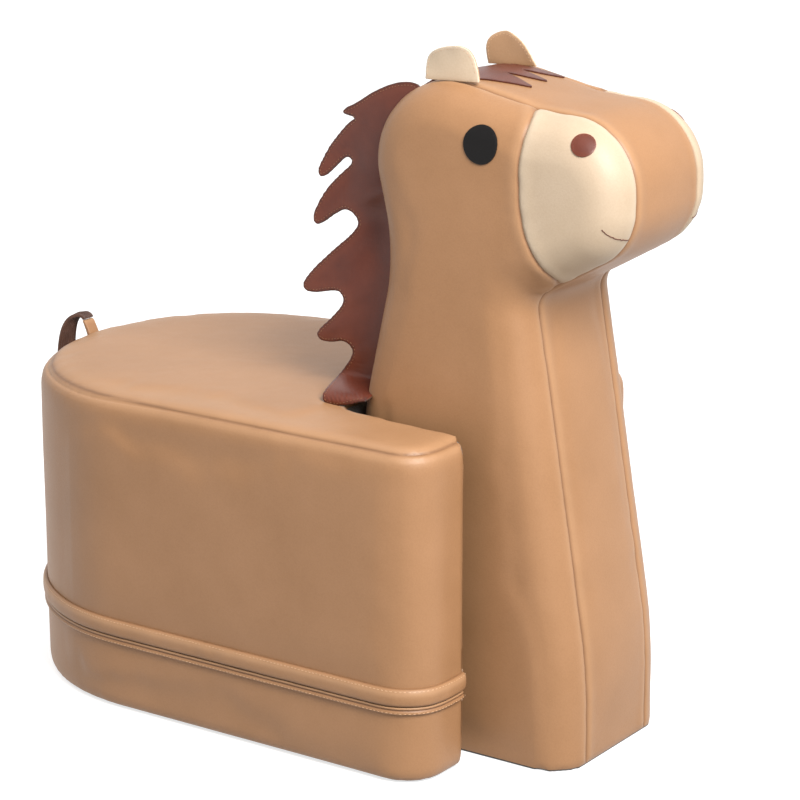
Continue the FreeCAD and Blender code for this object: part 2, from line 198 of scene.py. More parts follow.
def wovenCloth(name, look):
    # plain weave: raised threads both ways, the gaps between them painted dark as shade
    mat = newMaterial(name)
    place = addNode(mat, "ShaderNodeTexCoord", {})
    waves = []
    for way in ("X", "Y", "Z"):
        waves.append(addNode(mat, "ShaderNodeTexWave",
                             {"bands_direction": way, "Scale": 0.314 / look["thread"], "Distortion": 0.6,
                              "Detail": 1, "Detail Scale": 2},
                             {"Vector": (place, "Object")}))
    flat = addNode(mat, "ShaderNodeMath", {"operation": "MULTIPLY"}, {0: (waves[0], "Fac"), 1: (waves[1], "Fac")})
    weave = addNode(mat, "ShaderNodeMath", {"operation": "ADD"}, {0: (flat, "Value"), 1: (waves[2], "Fac")})
    fuzz = addNode(mat, "ShaderNodeTexNoise", {"Scale": 1 / (look["thread"] * 14), "Detail": 5},
                   {"Vector": (place, "Object")})
    tone = addNode(mat, "ShaderNodeValToRGB",
                   {"stops": [(0.2, hexColour(look["gap"])), (1.0, hexColour(look["yarn"]))]}, {"Fac": (weave, "Value")})
    faded = addNode(mat, "ShaderNodeMix", {"data_type": "RGBA", "blend_type": "MULTIPLY", 0: 0.35},
                    {6: (tone, "Color"), 7: (fuzz, "Color")})
    rough = addNode(mat, "ShaderNodeMapRange", {"To Min": 0.75, "To Max": 0.95}, {"Value": (fuzz, "Fac")})
    bump = addNode(mat, "ShaderNodeBump", {"Strength": 0.5, "Distance": look["thread"] * 0.4},
                   {"Height": (weave, "Value")})
    return shaded(mat, {"IOR": 1.5, "Specular IOR Level": 0.3, "Sheen Weight": 0.15, "Sheen Roughness": 0.6},
                  {"Base Color": (faded, 2), "Roughness": (rough, "Result"), "Normal": (bump, "Normal")})


def openCellFoam(name, look):
    # cut polyurethane foam: pale, matt, pitted all over with open cells, the pits painted darker as shade
    mat = newMaterial(name)
    place = addNode(mat, "ShaderNodeTexCoord", {})
    cells = addNode(mat, "ShaderNodeTexVoronoi", {"Scale": 1 / look["cell"]}, {"Vector": (place, "Object")})
    drift = addNode(mat, "ShaderNodeTexNoise", {"Scale": 12, "Detail": 4}, {"Vector": (place, "Object")})
    tone = addNode(mat, "ShaderNodeValToRGB",
                   {"stops": [(0.0, hexColour(look["pitShade"])), (0.6, hexColour(look["wall"]))]},
                   {"Fac": (cells, "Distance")})
    aged = addNode(mat, "ShaderNodeMix", {"data_type": "RGBA", "blend_type": "MULTIPLY", 0: 0.2},
                   {6: (tone, "Color"), 7: (drift, "Color")})
    bump = addNode(mat, "ShaderNodeBump", {"Strength": 0.7, "Distance": look["cell"] * 0.4},
                   {"Height": (cells, "Distance")})
    return shaded(mat, {"IOR": 1.45, "Roughness": 0.95, "Specular IOR Level": 0.2},
                  {"Base Color": (aged, 2), "Normal": (bump, "Normal")})


def twistedThread(name, look):
    # bonded polyester sewing thread: tight spiral strands with a dull sparkle, the twist's grooves painted darker as
    # shade and the strands' crowns paler as highlight
    mat = newMaterial(name)
    place = addNode(mat, "ShaderNodeTexCoord", {})
    strand = addNode(mat, "ShaderNodeTexWave",
                     {"bands_direction": "DIAGONAL", "Scale": 0.314 / look["strand"], "Distortion": 0.4},
                     {"Vector": (place, "Object")})
    tone = addNode(mat, "ShaderNodeValToRGB",
                   {"stops": [(0.0, hexColour(look["dark"])), (1.0, hexColour(look["light"]))]}, {"Fac": (strand, "Fac")})
    bump = addNode(mat, "ShaderNodeBump", {"Strength": 0.4, "Distance": look["strand"] * 0.3},
                   {"Height": (strand, "Fac")})
    return shaded(mat, {"IOR": 1.54, "Roughness": 0.55, "Sheen Weight": 0.2, "Sheen Roughness": 0.4},
                  {"Base Color": (tone, "Color"), "Normal": (bump, "Normal")})


def hardFinish(name, look):
    # moulded nylon or stove enamel over cast zinc: smooth, faintly orange-peeled, scuffed here and there
    mat = newMaterial(name)
    place = addNode(mat, "ShaderNodeTexCoord", {})
    peel = addNode(mat, "ShaderNodeTexNoise", {"Scale": 1 / look["peel"], "Detail": 2}, {"Vector": (place, "Object")})
    scuff = addNode(mat, "ShaderNodeTexNoise", {"Scale": 180, "Detail": 6, "Roughness": 0.7},
                    {"Vector": (place, "Object")})
    tone = addNode(mat, "ShaderNodeValToRGB",
                   {"stops": [(0.35, hexColour(look["dark"])), (0.65, hexColour(look["light"]))]}, {"Fac": (scuff, "Fac")})
    rough = addNode(mat, "ShaderNodeMapRange", {"To Min": look["rough"] - 0.1, "To Max": look["rough"] + 0.15},
                    {"Value": (scuff, "Fac")})
    bump = addNode(mat, "ShaderNodeBump", {"Strength": 0.15, "Distance": look["peel"] * 0.2}, {"Height": (peel, "Fac")})
    return shaded(mat, {"IOR": 1.53, "Coat Weight": look["coat"], "Coat Roughness": 0.15},
                  {"Base Color": (tone, "Color"), "Roughness": (rough, "Result"), "Normal": (bump, "Normal")})


skinLook = {                    # the pebble is 0.6 mm on the real skin, drawn at 1.5 mm so that it shows
    "pebble": 1.5 * mm, "cloud": 90 * mm, "pitShade": 0.10, "seamShade": 0.75, "highlightStrength": 0.3, "rough": 0.47,
    "bump": 0.2, "specular": 0.42, "sheen": 0.0,
}
materials = {
    # in each look the dark crease colour is painted shade and the pale worn colour is painted highlight
    "tan_leather": leatherette("tan embossed leatherette", {
        **skinLook, "light": "#9A714E", "dark": "#916946", "creaseShade": "#5C3A22", "highlightPaint": "#BD9672"}),
    "cream_leather": leatherette("cream embossed leatherette", {
        **skinLook, "light": "#B09C85", "dark": "#A9947B", "creaseShade": "#7E6348", "highlightPaint": "#C8B9A3", "rough": 0.5}),
    # the ears' cream: a paler copy of the cream leather, painted light for the raised ears
    "ear_cream_lit_leather": leatherette("cream leatherette lit for the ears", {
        **skinLook, "light": "#C2AF97", "dark": "#B9A48A", "creaseShade": "#8A6C4E", "highlightPaint": "#D8CAB6", "rough": 0.5}),
    "chestnut_leather": leatherette("chestnut smooth leatherette", {
        **skinLook, "light": "#5F2A19", "dark": "#522214", "creaseShade": "#280F07", "highlightPaint": "#83452F", "rough": 0.4,
        "pebble": 1.1 * mm, "pitShade": 0.06, "cloud": 30 * mm}),
    # the ears' tan: a paler copy of the tan leather, painted light for the raised ears
    "ear_tan_lit_leather": leatherette("tan leatherette lit for the ears", {
        **skinLook, "light": "#A07E5E", "dark": "#947152", "creaseShade": "#6B4A30", "highlightPaint": "#C2A688"}),
    "dark_leather": leatherette("dark brown cut leatherette", {
        **skinLook, "light": "#54392D", "dark": "#3A241B", "creaseShade": "#1E110C", "highlightPaint": "#8A6650", "cloud": 14 * mm}),
    "black_leather": leatherette("black smooth leatherette", {
        **skinLook, "light": "#0E0B0A", "dark": "#0A0808", "creaseShade": "#040303", "highlightPaint": "#1C1816", "rough": 0.6,
        "specular": 0.22, "sheen": 0.0}),
    "grey_lining": wovenCloth("grey woven lining", {"thread": 1.1 * mm, "gap": "#4D4A46", "yarn": "#8A8780"}),
    "base_fabric": wovenCloth("dark woven base cloth", {"thread": 1.3 * mm, "gap": "#141210", "yarn": "#3A3632"}),
    "zip_cloth": wovenCloth("woven zip tape", {"thread": 0.8 * mm, "gap": "#6B4D33", "yarn": "#A98560"}),
    "foam": openCellFoam("cut open-cell foam", {"cell": 1.4 * mm, "pitShade": "#BDAE86", "wall": "#E6DAB8"}),
    "thread": twistedThread("twisted sewing thread", {"strand": 0.5 * mm, "dark": "#6E4526", "light": "#9A6B45"}),
    "pale_thread": twistedThread("pale twisted thread", {"strand": 0.5 * mm, "dark": "#A67A54", "light": "#D9B48E"}),
    "zip_nylon": hardFinish("moulded nylon coil", {"peel": 0.6 * mm, "dark": "#7F5F41", "light": "#96734F",
                                                    "rough": 0.4, "coat": 0.0}),
    "zip_metal": hardFinish("enamelled zinc casting", {"peel": 0.9 * mm, "dark": "#7A5A3E", "light": "#8F6D4B",
                                                       "rough": 0.3, "coat": 0.5}),
}
print("materials made:", len(materials))


# hand tools for every piece

def focus(piece):
    clearPick()
    piece.select_set(True)
    bpy.context.view_layer.objects.active = piece


def edit(piece):
    focus(piece)
    bpy.ops.object.mode_set(mode="EDIT")


def leave():
    bpy.ops.object.mode_set(mode="OBJECT")


def pick(piece, kind, test):
    # in edit mode, selects the verts, edges or faces that pass the test
    bpy.ops.mesh.select_mode(type={"verts": "VERT", "edges": "EDGE", "faces": "FACE"}[kind])
    bpy.ops.mesh.select_all(action="DESELECT")
    shape = bmesh.from_edit_mesh(piece.data)
    for part in getattr(shape, kind):
        if test(part):
            part.select_set(True)
    shape.select_flush_mode()
    bmesh.update_edit_mesh(piece.data)


def applied(piece, kind, **settings):
    focus(piece)
    step = piece.modifiers.new(kind.title(), kind)
    for name, value in settings.items():
        setattr(step, name, value)
    bpy.ops.object.modifier_apply(modifier=step.name)
    return piece


def addBlock(name, low, high):
    clearPick()
    bpy.ops.mesh.primitive_cube_add(size=1, location=(low + high) / 2)
    block = bpy.context.object
    block.name = name
    bpy.ops.object.mode_set(mode="EDIT")
    bpy.ops.mesh.select_all(action="SELECT")
    bpy.ops.transform.resize(value=high - low, center_override=(low + high) / 2)
    leave()
    bpy.ops.object.transform_apply(location=True, rotation=True, scale=True)
    return block


def bevelled(piece, kind, test, width, steps):
    edit(piece)
    pick(piece, "edges" if kind == "EDGES" else "verts", test)
    bpy.ops.mesh.bevel(offset=width, offset_type="OFFSET", segments=steps, profile=0.5, affect=kind,
                       clamp_overlap=False)
    leave()


def sliced(piece, spot, way, test=None, clear=None):
    # one straight cut through all the faces, or through those that pass the test
    edit(piece)
    pick(piece, "faces", test or (lambda face: True))
    bpy.ops.mesh.bisect(plane_co=spot, plane_no=way, use_fill=clear is not None,
                        clear_outer=clear == "outer", clear_inner=clear == "inner", threshold=1e-6)
    leave()


def cutOff(piece, name, test):
    # the faces that pass the test become a piece of their own
    edit(piece)
    pick(piece, "faces", test)
    before = set(bpy.data.objects)
    bpy.ops.mesh.separate(type="SELECTED")
    leave()
    new = (set(bpy.data.objects) - before).pop()
    new.name = name
    return new


def moved(piece, rule):
    # each point goes where the rule says, from its place and its normal
    places = [(v.co.copy(), v.normal.copy()) for v in piece.data.vertices]
    for vertex, (spot, out) in zip(piece.data.vertices, places):
        vertex.co = rule(spot, out)
    piece.data.update()


def marked(piece, name, rule):
    # a number at each point, for the material to read
    if name in piece.data.attributes:
        piece.data.attributes.remove(piece.data.attributes[name])
    layer = piece.data.attributes.new(name, "FLOAT", "POINT")
    layer.data.foreach_set("value", [rule(v.co) for v in piece.data.vertices])


def removed(piece):
    bpy.data.objects.remove(piece, do_unlink=True)


def copied(piece, name):
    new = piece.copy()
    new.data = piece.data.copy()
    new.name = name
    bpy.context.scene.collection.objects.link(new)
    return new


def dressed(piece, slot, body, nodes=(), look=None):
    # material, body, slot, and the CAD nodes that the piece stands for
    piece.data.materials.clear()
    piece.data.materials.append(materials[look or slot])
    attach(piece, body)
    if nodes:
        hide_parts(*nodes)
    return piece


def smoothed(piece, angle=50):
    focus(piece)
    bpy.ops.object.shade_smooth_by_angle(angle=math.radians(angle))
    return piece


def softened(piece, settings):
    # even quads, then pressure inside a coarser twin shows how the cover crowns and pulls at its corners
    twin = copied(piece, piece.name + "Twin")
    applied(piece, "REMESH", mode="VOXEL", voxel_size=settings["voxel"])
    applied(piece, "SMOOTH", factor=0.5, iterations=settings["smoothing"])
    if twin is None:
        return
    applied(twin, "REMESH", mode="VOXEL", voxel_size=settings["simVoxel"])
    start = [(v.co.copy(), v.normal.copy()) for v in twin.data.vertices]
    focus(twin)
    cloth = twin.modifiers.new("Cloth", "CLOTH")
    cloth.settings.quality = 4
    cloth.settings.tension_stiffness = settings["stiffness"]
    cloth.settings.compression_stiffness = settings["stiffness"]
    cloth.settings.bending_stiffness = settings["bending"]
    cloth.settings.use_pressure = True
    cloth.settings.uniform_pressure_force = settings["pressure"]
    cloth.settings.effector_weights.gravity = 0
    for step in range(1, 21):
        bpy.context.scene.frame_set(step)
    bpy.ops.object.modifier_apply(modifier=cloth.name)
    bpy.context.scene.frame_set(1)
    tree = kdtree.KDTree(len(start))
    moves = []
    for index, (spot, out) in enumerate(start):
        move = twin.data.vertices[index].co - spot
        most = settings["reach"](spot)
        move = move * min(1, most / max(move.length, 1e-9))
        inward = -move.dot(out)
        if inward > settings["inward"]:
            move += out * (inward - settings["inward"])
        moves.append(move)
        tree.insert(spot, index)
    tree.balance()
    removed(twin)

    def carried(spot, out):
        # the twin's moves near this point, fading to nothing at the farthest of them
        near = tree.find_n(spot, 16)
        far = near[-1][2] * 1.001
        total = Vector()
        weight = 0
        for place, index, gap in near:
            share = (1 - gap / far) ** 2
            total += moves[index] * share
            weight += share
        return spot + total / weight

    moved(piece, carried)


def lineAlong(piece, test):
    # point numbers of the longest run of edges that passes the test, in order
    joined = {}
    points = piece.data.vertices
    for edge in piece.data.edges:
        first, last = edge.vertices
        if test(points[first].co) and test(points[last].co):
            joined.setdefault(first, []).append(last)
            joined.setdefault(last, []).append(first)
    free = set(joined)
    ends = sorted(v for v in joined if len(joined[v]) == 1)
    best = []
    for start in ends + sorted(joined):
        if start not in free:
            continue
        run = [start]
        free.discard(start)
        while True:
            ahead = [v for v in joined[run[-1]] if v in free]
            if not ahead:
                break
            run.append(ahead[0])
            free.discard(ahead[0])
        if run[0] in joined[run[-1]] and len(run) > 2:
            run.append(run[0])
        if len(run) > len(best):
            best = run
    return best


def readLine(piece, numbers):
    points = piece.data.vertices
    return [(points[n].co.copy(), points[n].normal.copy()) for n in numbers]


def evenly(line, pitch, start=0.0):
    # equal steps along a line of (point, normal): point, direction and normal at each
    spots = []
    wanted = start
    gone = 0.0
    for (first, outFirst), (last, outLast) in zip(line, line[1:]):
        length = (last - first).length
        if length < 1e-7:
            continue
        while wanted <= gone + length:
            share = (wanted - gone) / length
            spots.append((first.lerp(last, share), (last - first).normalized(),
                          outFirst.lerp(outLast, share).normalized()))
            wanted += pitch
        gone += length
    return spots


def calmed(line, rounds):
    # the same line with small kinks eased out
    closed = (line[0][0] - line[-1][0]).length < 1e-6
    for turn in range(rounds):
        new = list(line)
        for i in range(1, len(line) - 1):
            new[i] = ((line[i - 1][0] + line[i][0] * 2 + line[i + 1][0]) / 4,
                      (line[i - 1][1] + line[i][1] * 2 + line[i + 1][1]).normalized())
        if closed:
            new[0] = new[-1] = ((line[-2][0] + line[0][0] * 2 + line[1][0]) / 4, line[0][1])
        line = new
    return line


stitchShape = {"length": 2.7 * mm, "radius": 0.45 * mm, "pitch": 3.8 * mm, "roundEnd": 0.3 * mm}


def makeStitch():
    # one short length of thread along X, round at both ends
    clearPick()
    bpy.ops.mesh.primitive_cylinder_add(vertices=6, radius=stitchShape["radius"], depth=stitchShape["length"],
                                        rotation=(0, math.pi / 2, 0))
    stitch = bpy.context.object
    bpy.ops.object.transform_apply(location=True, rotation=True, scale=True)
    half = stitchShape["length"] / 2
    bevelled(stitch, "EDGES", lambda e: all(abs(abs(v.co.x) - half) < 1e-6 for v in e.verts),
             stitchShape["roundEnd"], 1)
    mesh = stitch.data
    removed(stitch)
    return mesh


oneStitch = makeStitch()


def sewn(name, spots, body, slot="thread", look=None, size=1.0, sink=0.1 * mm):
    # copies of the one stitch laid along a line, as a single piece of thread
    coords = []
    faces = []
    for spot, along, out in spots:
        side = out.cross(along)
        if side.length < 1e-6:
            continue
        side.normalize()
        turn = Matrix((along, side, along.cross(side))).transposed()
        base = len(coords)
        coords += [spot - out * sink + turn @ (v.co * size) for v in oneStitch.vertices]
        faces += [[base + i for i in face.vertices] for face in oneStitch.polygons]
    mesh = bpy.data.meshes.new(name)
    mesh.from_pydata(coords, [], faces)
    piece = bpy.data.objects.new(name, mesh)
    bpy.context.scene.collection.objects.link(piece)
    smoothed(piece, 70)
    return dressed(piece, slot, body, look=look)


def easeThrough(table, at):
    # a smooth value between the rows of a short table
    if at <= table[0][0]:
        return table[0][1]
    if at >= table[-1][0]:
        return table[-1][1]
    for i in range(len(table) - 1):
        (a, va), (b, vb) = table[i], table[i + 1]
        if at <= b:
            before = table[i - 1] if i else table[i]
            after = table[i + 2] if i + 2 < len(table) else table[i + 1]
            slopeA = (vb - before[1]) / (b - before[0])
            slopeB = (after[1] - va) / (after[0] - a)
            t = (at - a) / (b - a)
            span = b - a
            return ((2 * t ** 3 - 3 * t ** 2 + 1) * va + (t ** 3 - 2 * t ** 2 + t) * span * slopeA
                    + (3 * t ** 2 - 2 * t ** 3) * vb + (t ** 3 - t ** 2) * span * slopeB)


def hump(distance, width):
    return math.exp(-(distance / width) ** 2)


def seamRelief(distance, seam):
    # the cover sinks into the seam and rolls up beside it
    return seam["roll"] * hump(distance - seam["rollAt"], seam["rollAt"] * 0.8) - seam["depth"] * hump(
        distance, seam["width"])


def walled(piece, thickness=1.4 * mm):
    # the skin gets its thickness, inwards
    return applied(piece, "SOLIDIFY", thickness=thickness, offset=-1, use_even_offset=False)


# seat block: one soft body, cut at its seams into the panels it is sewn from

bandLow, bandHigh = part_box("seat_side_band")
seat = {
    "front": bandHigh.x, "half": bandHigh.y, "height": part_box("seat_top_panel")[1].z,
    "frontCorner": 38 * mm, "topRound": 19 * mm, "bottomRound": 8 * mm,
    "slotRear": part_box("slot_loop_tapes")[0].x, "slotHalfRear": 95 * mm, "slotHalfFront": 110 * mm,
    "slotCorner": 16 * mm, "rim": 3.4 * mm,
    "topSeam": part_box("seat_top_panel")[0].z, "bandFoot": bandLow.z, "lowerTop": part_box("seat_lower_band")[1].z,
    "zip": 76 * mm, "baseSeam": 2 * mm,
    "simVoxel": 6 * mm, "voxel": 4.2 * mm, "smoothing": 4, "stiffness": 18, "bending": 8, "pressure": 4,
    "inward": 0.5 * mm, "bulge": 2.6 * mm, "rearDip": 4.0 * mm, "dipWidth": 34 * mm,
    "foamInside": 3.6 * mm,
}
seatSeam = {"depth": 1.0 * mm, "width": 1.3 * mm, "roll": 0.35 * mm, "rollAt": 6 * mm}
pucker = {"high": 0.45 * mm, "reach": 13 * mm, "every": 11 * mm}


def slotHalf(x):
    # half the slot's width at this distance from its rear wall
    share = (x - seat["slotRear"]) / (seat["front"] - seat["slotRear"])
    return seat["slotHalfRear"] + share * (seat["slotHalfFront"] - seat["slotHalfRear"])


def inSlot(spot, margin):
    return spot.x > seat["slotRear"] - margin and abs(spot.y) < slotHalf(spot.x) + margin


def rimDistance(spot):
    # how far inside the seat's outline a point is
    if spot.x < 0:
        return seat["half"] - math.hypot(spot.x, spot.y)
    across = seat["half"] - abs(spot.y)
    ahead = seat["front"] - spot.x
    corner = seat["frontCorner"]
    if across < corner and ahead < corner:
        return corner - math.hypot(corner - across, corner - ahead)
    return min(across, ahead)


def seatReach(spot):
    # the cover can't swell at the zip, the foot or the slot
    nearZip = 1 - 0.85 * hump(spot.z - seat["zip"], 26 * mm)
    nearSlot = 0.25 if inSlot(spot, 12 * mm) else 1
    return seat["bulge"] * nearZip * nearSlot


def makeSeatBody():
    body = addBlock("seatBody", Vector((-seat["half"], -seat["half"], 0)),
                    Vector((seat["front"], seat["half"], seat["height"])))

    def upright(edge):
        first, last = edge.verts
        return abs(first.co.z - last.co.z) > 0.1

    bevelled(body, "EDGES", lambda e: upright(e) and e.verts[0].co.x > 0, seat["frontCorner"], 8)
    bevelled(body, "EDGES", lambda e: upright(e) and e.verts[0].co.x < 0, seat["half"] - 0.01 * mm, 28)
    bevelled(body, "EDGES", lambda e: all(v.co.z > seat["height"] - mm for v in e.verts), seat["topRound"], 7)
    bevelled(body, "EDGES", lambda e: all(v.co.z < mm for v in e.verts), seat["bottomRound"], 4)
    reach = seat["front"] + 80 * mm
    tool = addBlock("slotTool", Vector((seat["slotRear"], -seat["slotHalfRear"], -0.05)),
                    Vector((reach, seat["slotHalfRear"], seat["height"] + 0.05)))
    edit(tool)
    pick(tool, "verts", lambda v: v.co.x > seat["front"])
    bpy.ops.transform.resize(value=(1, slotHalf(reach) / seat["slotHalfRear"], 1), center_override=(0, 0, 0))
    leave()
    bevelled(tool, "EDGES", lambda e: upright(e) and e.verts[0].co.x < seat["front"], seat["slotCorner"], 6)
    applied(body, "BOOLEAN", operation="DIFFERENCE", object=tool, solver="EXACT")
    removed(tool)
    softened(body, {**seat, "reach": seatReach})

    moved(body, lambda spot, out: Vector((spot.x, spot.y, max(0, spot.z))))
    return body


seatBody = makeSeatBody()
print("seat body made:", len(seatBody.data.vertices), "points")


def rearSunk(spot):
    # the worn seat has sunk a little just inside its rear rim
    low = spot.copy()
    if spot.z > 0.2 and spot.x < 0.1:
        share = min(1, (0.1 - spot.x) / 0.15)
        low.z -= seat["rearDip"] * share * hump(max(0, rimDistance(spot)), seat["dipWidth"]) * (
            (spot.z - 0.2) / 0.1) ** 2
    return low


seatFoam = copied(seatBody, "seatFoam")
moved(seatFoam, lambda spot, out: rearSunk(spot - out * seat["foamInside"]))


def seamCuts(piece, spot, way, test=None):
    # a seam, with a few close cuts beside it for the cover's roll
    for step in (-6, -3, -1.4, 0, 1.4, 3, 6):
        sliced(piece, spot + way * step * mm, way, test)


up = Vector((0, 0, 1))
seamCuts(seatBody, Vector((0, 0, seat["topSeam"])), up, lambda f: f.calc_center_median().z > 0.28)
for height in (seat["bandFoot"], seat["lowerTop"], seat["baseSeam"]):
    sliced(seatBody, Vector((0, 0, height)), up, lambda f: abs(f.calc_center_median().z - height) < 0.01)
for side in sides.values():
    along = Vector((seat["front"] - seat["slotRear"], side * (seat["slotHalfFront"] - seat["slotHalfRear"]), 0))
    outwards = Vector((-along.y, along.x, 0)).normalized() * side
    onWall = Vector((seat["front"], side * seat["slotHalfFront"], 0))
    for step in (seat["rim"] - 1.2 * mm, seat["rim"], seat["rim"] + 1.2 * mm):
        sliced(seatBody, onWall + outwards * step, outwards,
               lambda f: f.calc_center_median().x > 0.32 and f.calc_center_median().y * side > 0.08
               and abs(f.calc_center_median().y) < 0.13)
    sliced(seatBody, Vector((seat["front"] - seat["rim"], 0, 0)), Vector((1, 0, 0)),
           lambda f: inSlot(f.calc_center_median(), 2 * mm) and f.calc_center_median().x > 0.32)

tiny = 2e-5
flapLine = lineAlong(seatBody, lambda co: abs(co.z - seat["bandFoot"]) < tiny and not inSlot(co, seat["rim"] * 0.4))
hemLine = lineAlong(seatBody, lambda co: abs(co.z - seat["lowerTop"]) < tiny and not inSlot(co, seat["rim"] * 0.4))
topLine = lineAlong(seatBody, lambda co: abs(co.z - seat["topSeam"]) < tiny and not inSlot(co, seat["rim"]))


def topSeamDistance(spot):
    return abs(spot.z - seat["topSeam"]) * 1.35


def rimSeamDistance(spot):
    if spot.x < seat["front"] - 6 * mm or abs(spot.y) > 0.13:
        return 1
    return abs(abs(spot.y) - slotHalf(spot.x) - seat["rim"])


def seatSewn(spot, out):
    if inSlot(spot, 1.5 * mm) and spot.x < seat["front"] - 3 * mm and spot.z < 0.29:
        return spot
    top = topSeamDistance(spot)
    lift = seamRelief(top, seatSeam) if spot.z > 0.27 else 0
    lift -= 1.1 * mm * hump(rimSeamDistance(spot), 1.1 * mm)
    wave = noise.noise(spot / pucker["every"]) * pucker["high"] * math.exp(-top / pucker["reach"])
    broad = noise.noise(spot * 11) * 0.5 * mm
    if abs(spot.z - seat["zip"]) < 12 * mm or spot.z < 12 * mm:
        broad = 0
    return rearSunk(spot + out * (lift + wave + broad))


moved(seatBody, seatSewn)
# painted shade along the top and rim seams, and painted highlight on the roll beside the top seam
marked(seatBody, "creaseShade", lambda co: max(hump(topSeamDistance(co), 1.3 * mm), hump(rimSeamDistance(co), 1.0 * mm)))
marked(seatBody, "highlightMask", lambda co: hump(topSeamDistance(co) - 5 * mm, 5 * mm) * 0.7)
flapLine = calmed(readLine(seatBody, flapLine), 6)
hemLine = calmed(readLine(seatBody, hemLine), 6)
topLine = calmed(readLine(seatBody, topLine), 3)
print("seat seams sewn:", len(flapLine), len(hemLine), len(topLine))


def middle(face):
    return face.calc_center_median()


topPanel = cutOff(seatBody, "seatTopPanel", lambda f: middle(f).z > seat["topSeam"])
basePanel = cutOff(seatBody, "seatBasePanel", lambda f: middle(f).z < seat["baseSeam"])
slotRims = cutOff(seatBody, "armRims", lambda f: middle(f).x > seat["front"] - seat["rim"] and inSlot(
    middle(f), seat["rim"] - 0.01 * mm))
lining = cutOff(seatBody, "slotLining", lambda f: inSlot(middle(f), 3 * mm))
lowerBand = cutOff(seatBody, "seatLowerBand", lambda f: middle(f).z < seat["lowerTop"])
sideBand = cutOff(seatBody, "seatSideBand", lambda f: middle(f).z > seat["bandFoot"])
removed(seatBody)
for panel in (topPanel, basePanel, slotRims, lining, lowerBand, sideBand):
    walled(panel)
    smoothed(panel)
dressed(topPanel, "tan_leather", "seat", ["seat_top_panel"])
dressed(sideBand, "tan_leather", "seat", ["seat_side_band"])
dressed(lowerBand, "tan_leather", "seat", ["seat_lower_band"])
dressed(slotRims, "tan_leather", "seat")
dressed(basePanel, "base_fabric", "seat", ["seat_bottom_panel"])
dressed(lining, "grey_lining", "seat", ["slot_lining"])
sewn("seatTopStitches", evenly(topLine, stitchShape["pitch"]), "seat", size=0.62, sink=0.25 * mm)
foamSplit = {"level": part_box("seat_comfort_layer")[0].z, "behind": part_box("seat_foam_rear")[1].x}
foamCuts = {              # each block of foam: the planes it is cut by, and the side that goes
    "seat_comfort_layer": [(up, "level", "inner")],
    "seat_foam_rear": [(up, "level", "outer"), (Vector((1, 0, 0)), "behind", "outer")],
    "seat_foam_arm_right": [(up, "level", "outer"), (Vector((1, 0, 0)), "behind", "inner"),
                            (Vector((0, 1, 0)), None, "outer")],
    "seat_foam_arm_left": [(up, "level", "outer"), (Vector((1, 0, 0)), "behind", "inner"),
                           (Vector((0, 1, 0)), None, "inner")],
}
for node, cuts in foamCuts.items():
    block = copied(seatFoam, "foam" + node.replace("seat_", "").title().replace("_", ""))
    for way, place, gone in cuts:
        sliced(block, way * foamSplit.get(place, 0), way, clear=gone)
    dressed(smoothed(block, 40), "foam", "seat", [node])
removed(seatFoam)
print("seat panels made")


# zip flap and hem: strips that follow the seat's side

flapShape = {
    "section": [(-0.8, 88.2), (1.2, 88.6), (2.8, 87.6), (4.1, 85.6), (4.7, 82.6), (4.7, 78.6), (4.4, 75.0),
                (3.7, 73.0), (2.7, 72.6), (2.2, 74.2), (2.2, 80.6), (-0.8, 81.0)],
    "waver": 0.5 * mm, "every": 13 * mm,
}
hemShape = {
    "section": [(-0.8, 72.0), (1.8, 72.1), (3.1, 71.5), (3.3, 70.4), (2.6, 69.5), (1.9, 69.0), (2.6, 68.3), (3.4, 67.2),
                (3.3, 65.6), (2.3, 64.6), (-0.8, 64.2)],
    "waver": 0.35 * mm, "every": 10 * mm,
}


def strip(name, line, shape):
    # the section carried along the line, out from the cover and at its own heights, capped at both ends
    spots = evenly(line, 4 * mm)
    coords = []
    faces = []
    count = len(shape["section"])
    for spot, along, out in spots:
        level = Vector((along.x, along.y, 0)).normalized()
        outwards = Vector((level.y, -level.x, 0))
        if outwards.dot(out) < 0:
            outwards.negate()
        for reach, height in shape["section"]:
            place = Vector((spot.x, spot.y, height * mm)) + outwards * reach * mm
            share = max(0, reach) / 4.5
            place += outwards * noise.noise(place / shape["every"]) * shape["waver"] * share
            place.z += noise.noise(Vector((place.x, place.y, 0)) / shape["every"] / 1.7) * shape["waver"] * share
            coords.append(place)
    for ring in range(len(spots) - 1):
        for i in range(count):
            ahead = (i + 1) % count
            faces.append((ring * count + i, ring * count + ahead, (ring + 1) * count + ahead, (ring + 1) * count + i))
    faces.append(tuple(range(count)))
    faces.append(tuple(range(len(coords) - count, len(coords))))
    mesh = bpy.data.meshes.new(name)
    mesh.from_pydata(coords, [], faces)
    piece = bpy.data.objects.new(name, mesh)
    bpy.context.scene.collection.objects.link(piece)
    edit(piece)
    bpy.ops.mesh.select_all(action="SELECT")
    bpy.ops.mesh.normals_make_consistent(inside=False)
    leave()
    applied(piece, "SUBSURF", levels=1, render_levels=1)
    return smoothed(piece, 60)


def onStrip(line, reach, height, pitch, tilt):
    # stitch places on a strip's face
    spots = []
    for spot, along, out in evenly(line, pitch):
        level = Vector((along.x, along.y, 0)).normalized()
        outwards = Vector((level.y, -level.x, 0))
        if outwards.dot(out) < 0:
            outwards.negate()
        face = (outwards + up * tilt).normalized()
        spots.append((Vector((spot.x, spot.y, height)) + outwards * reach, level, face))
    return spots


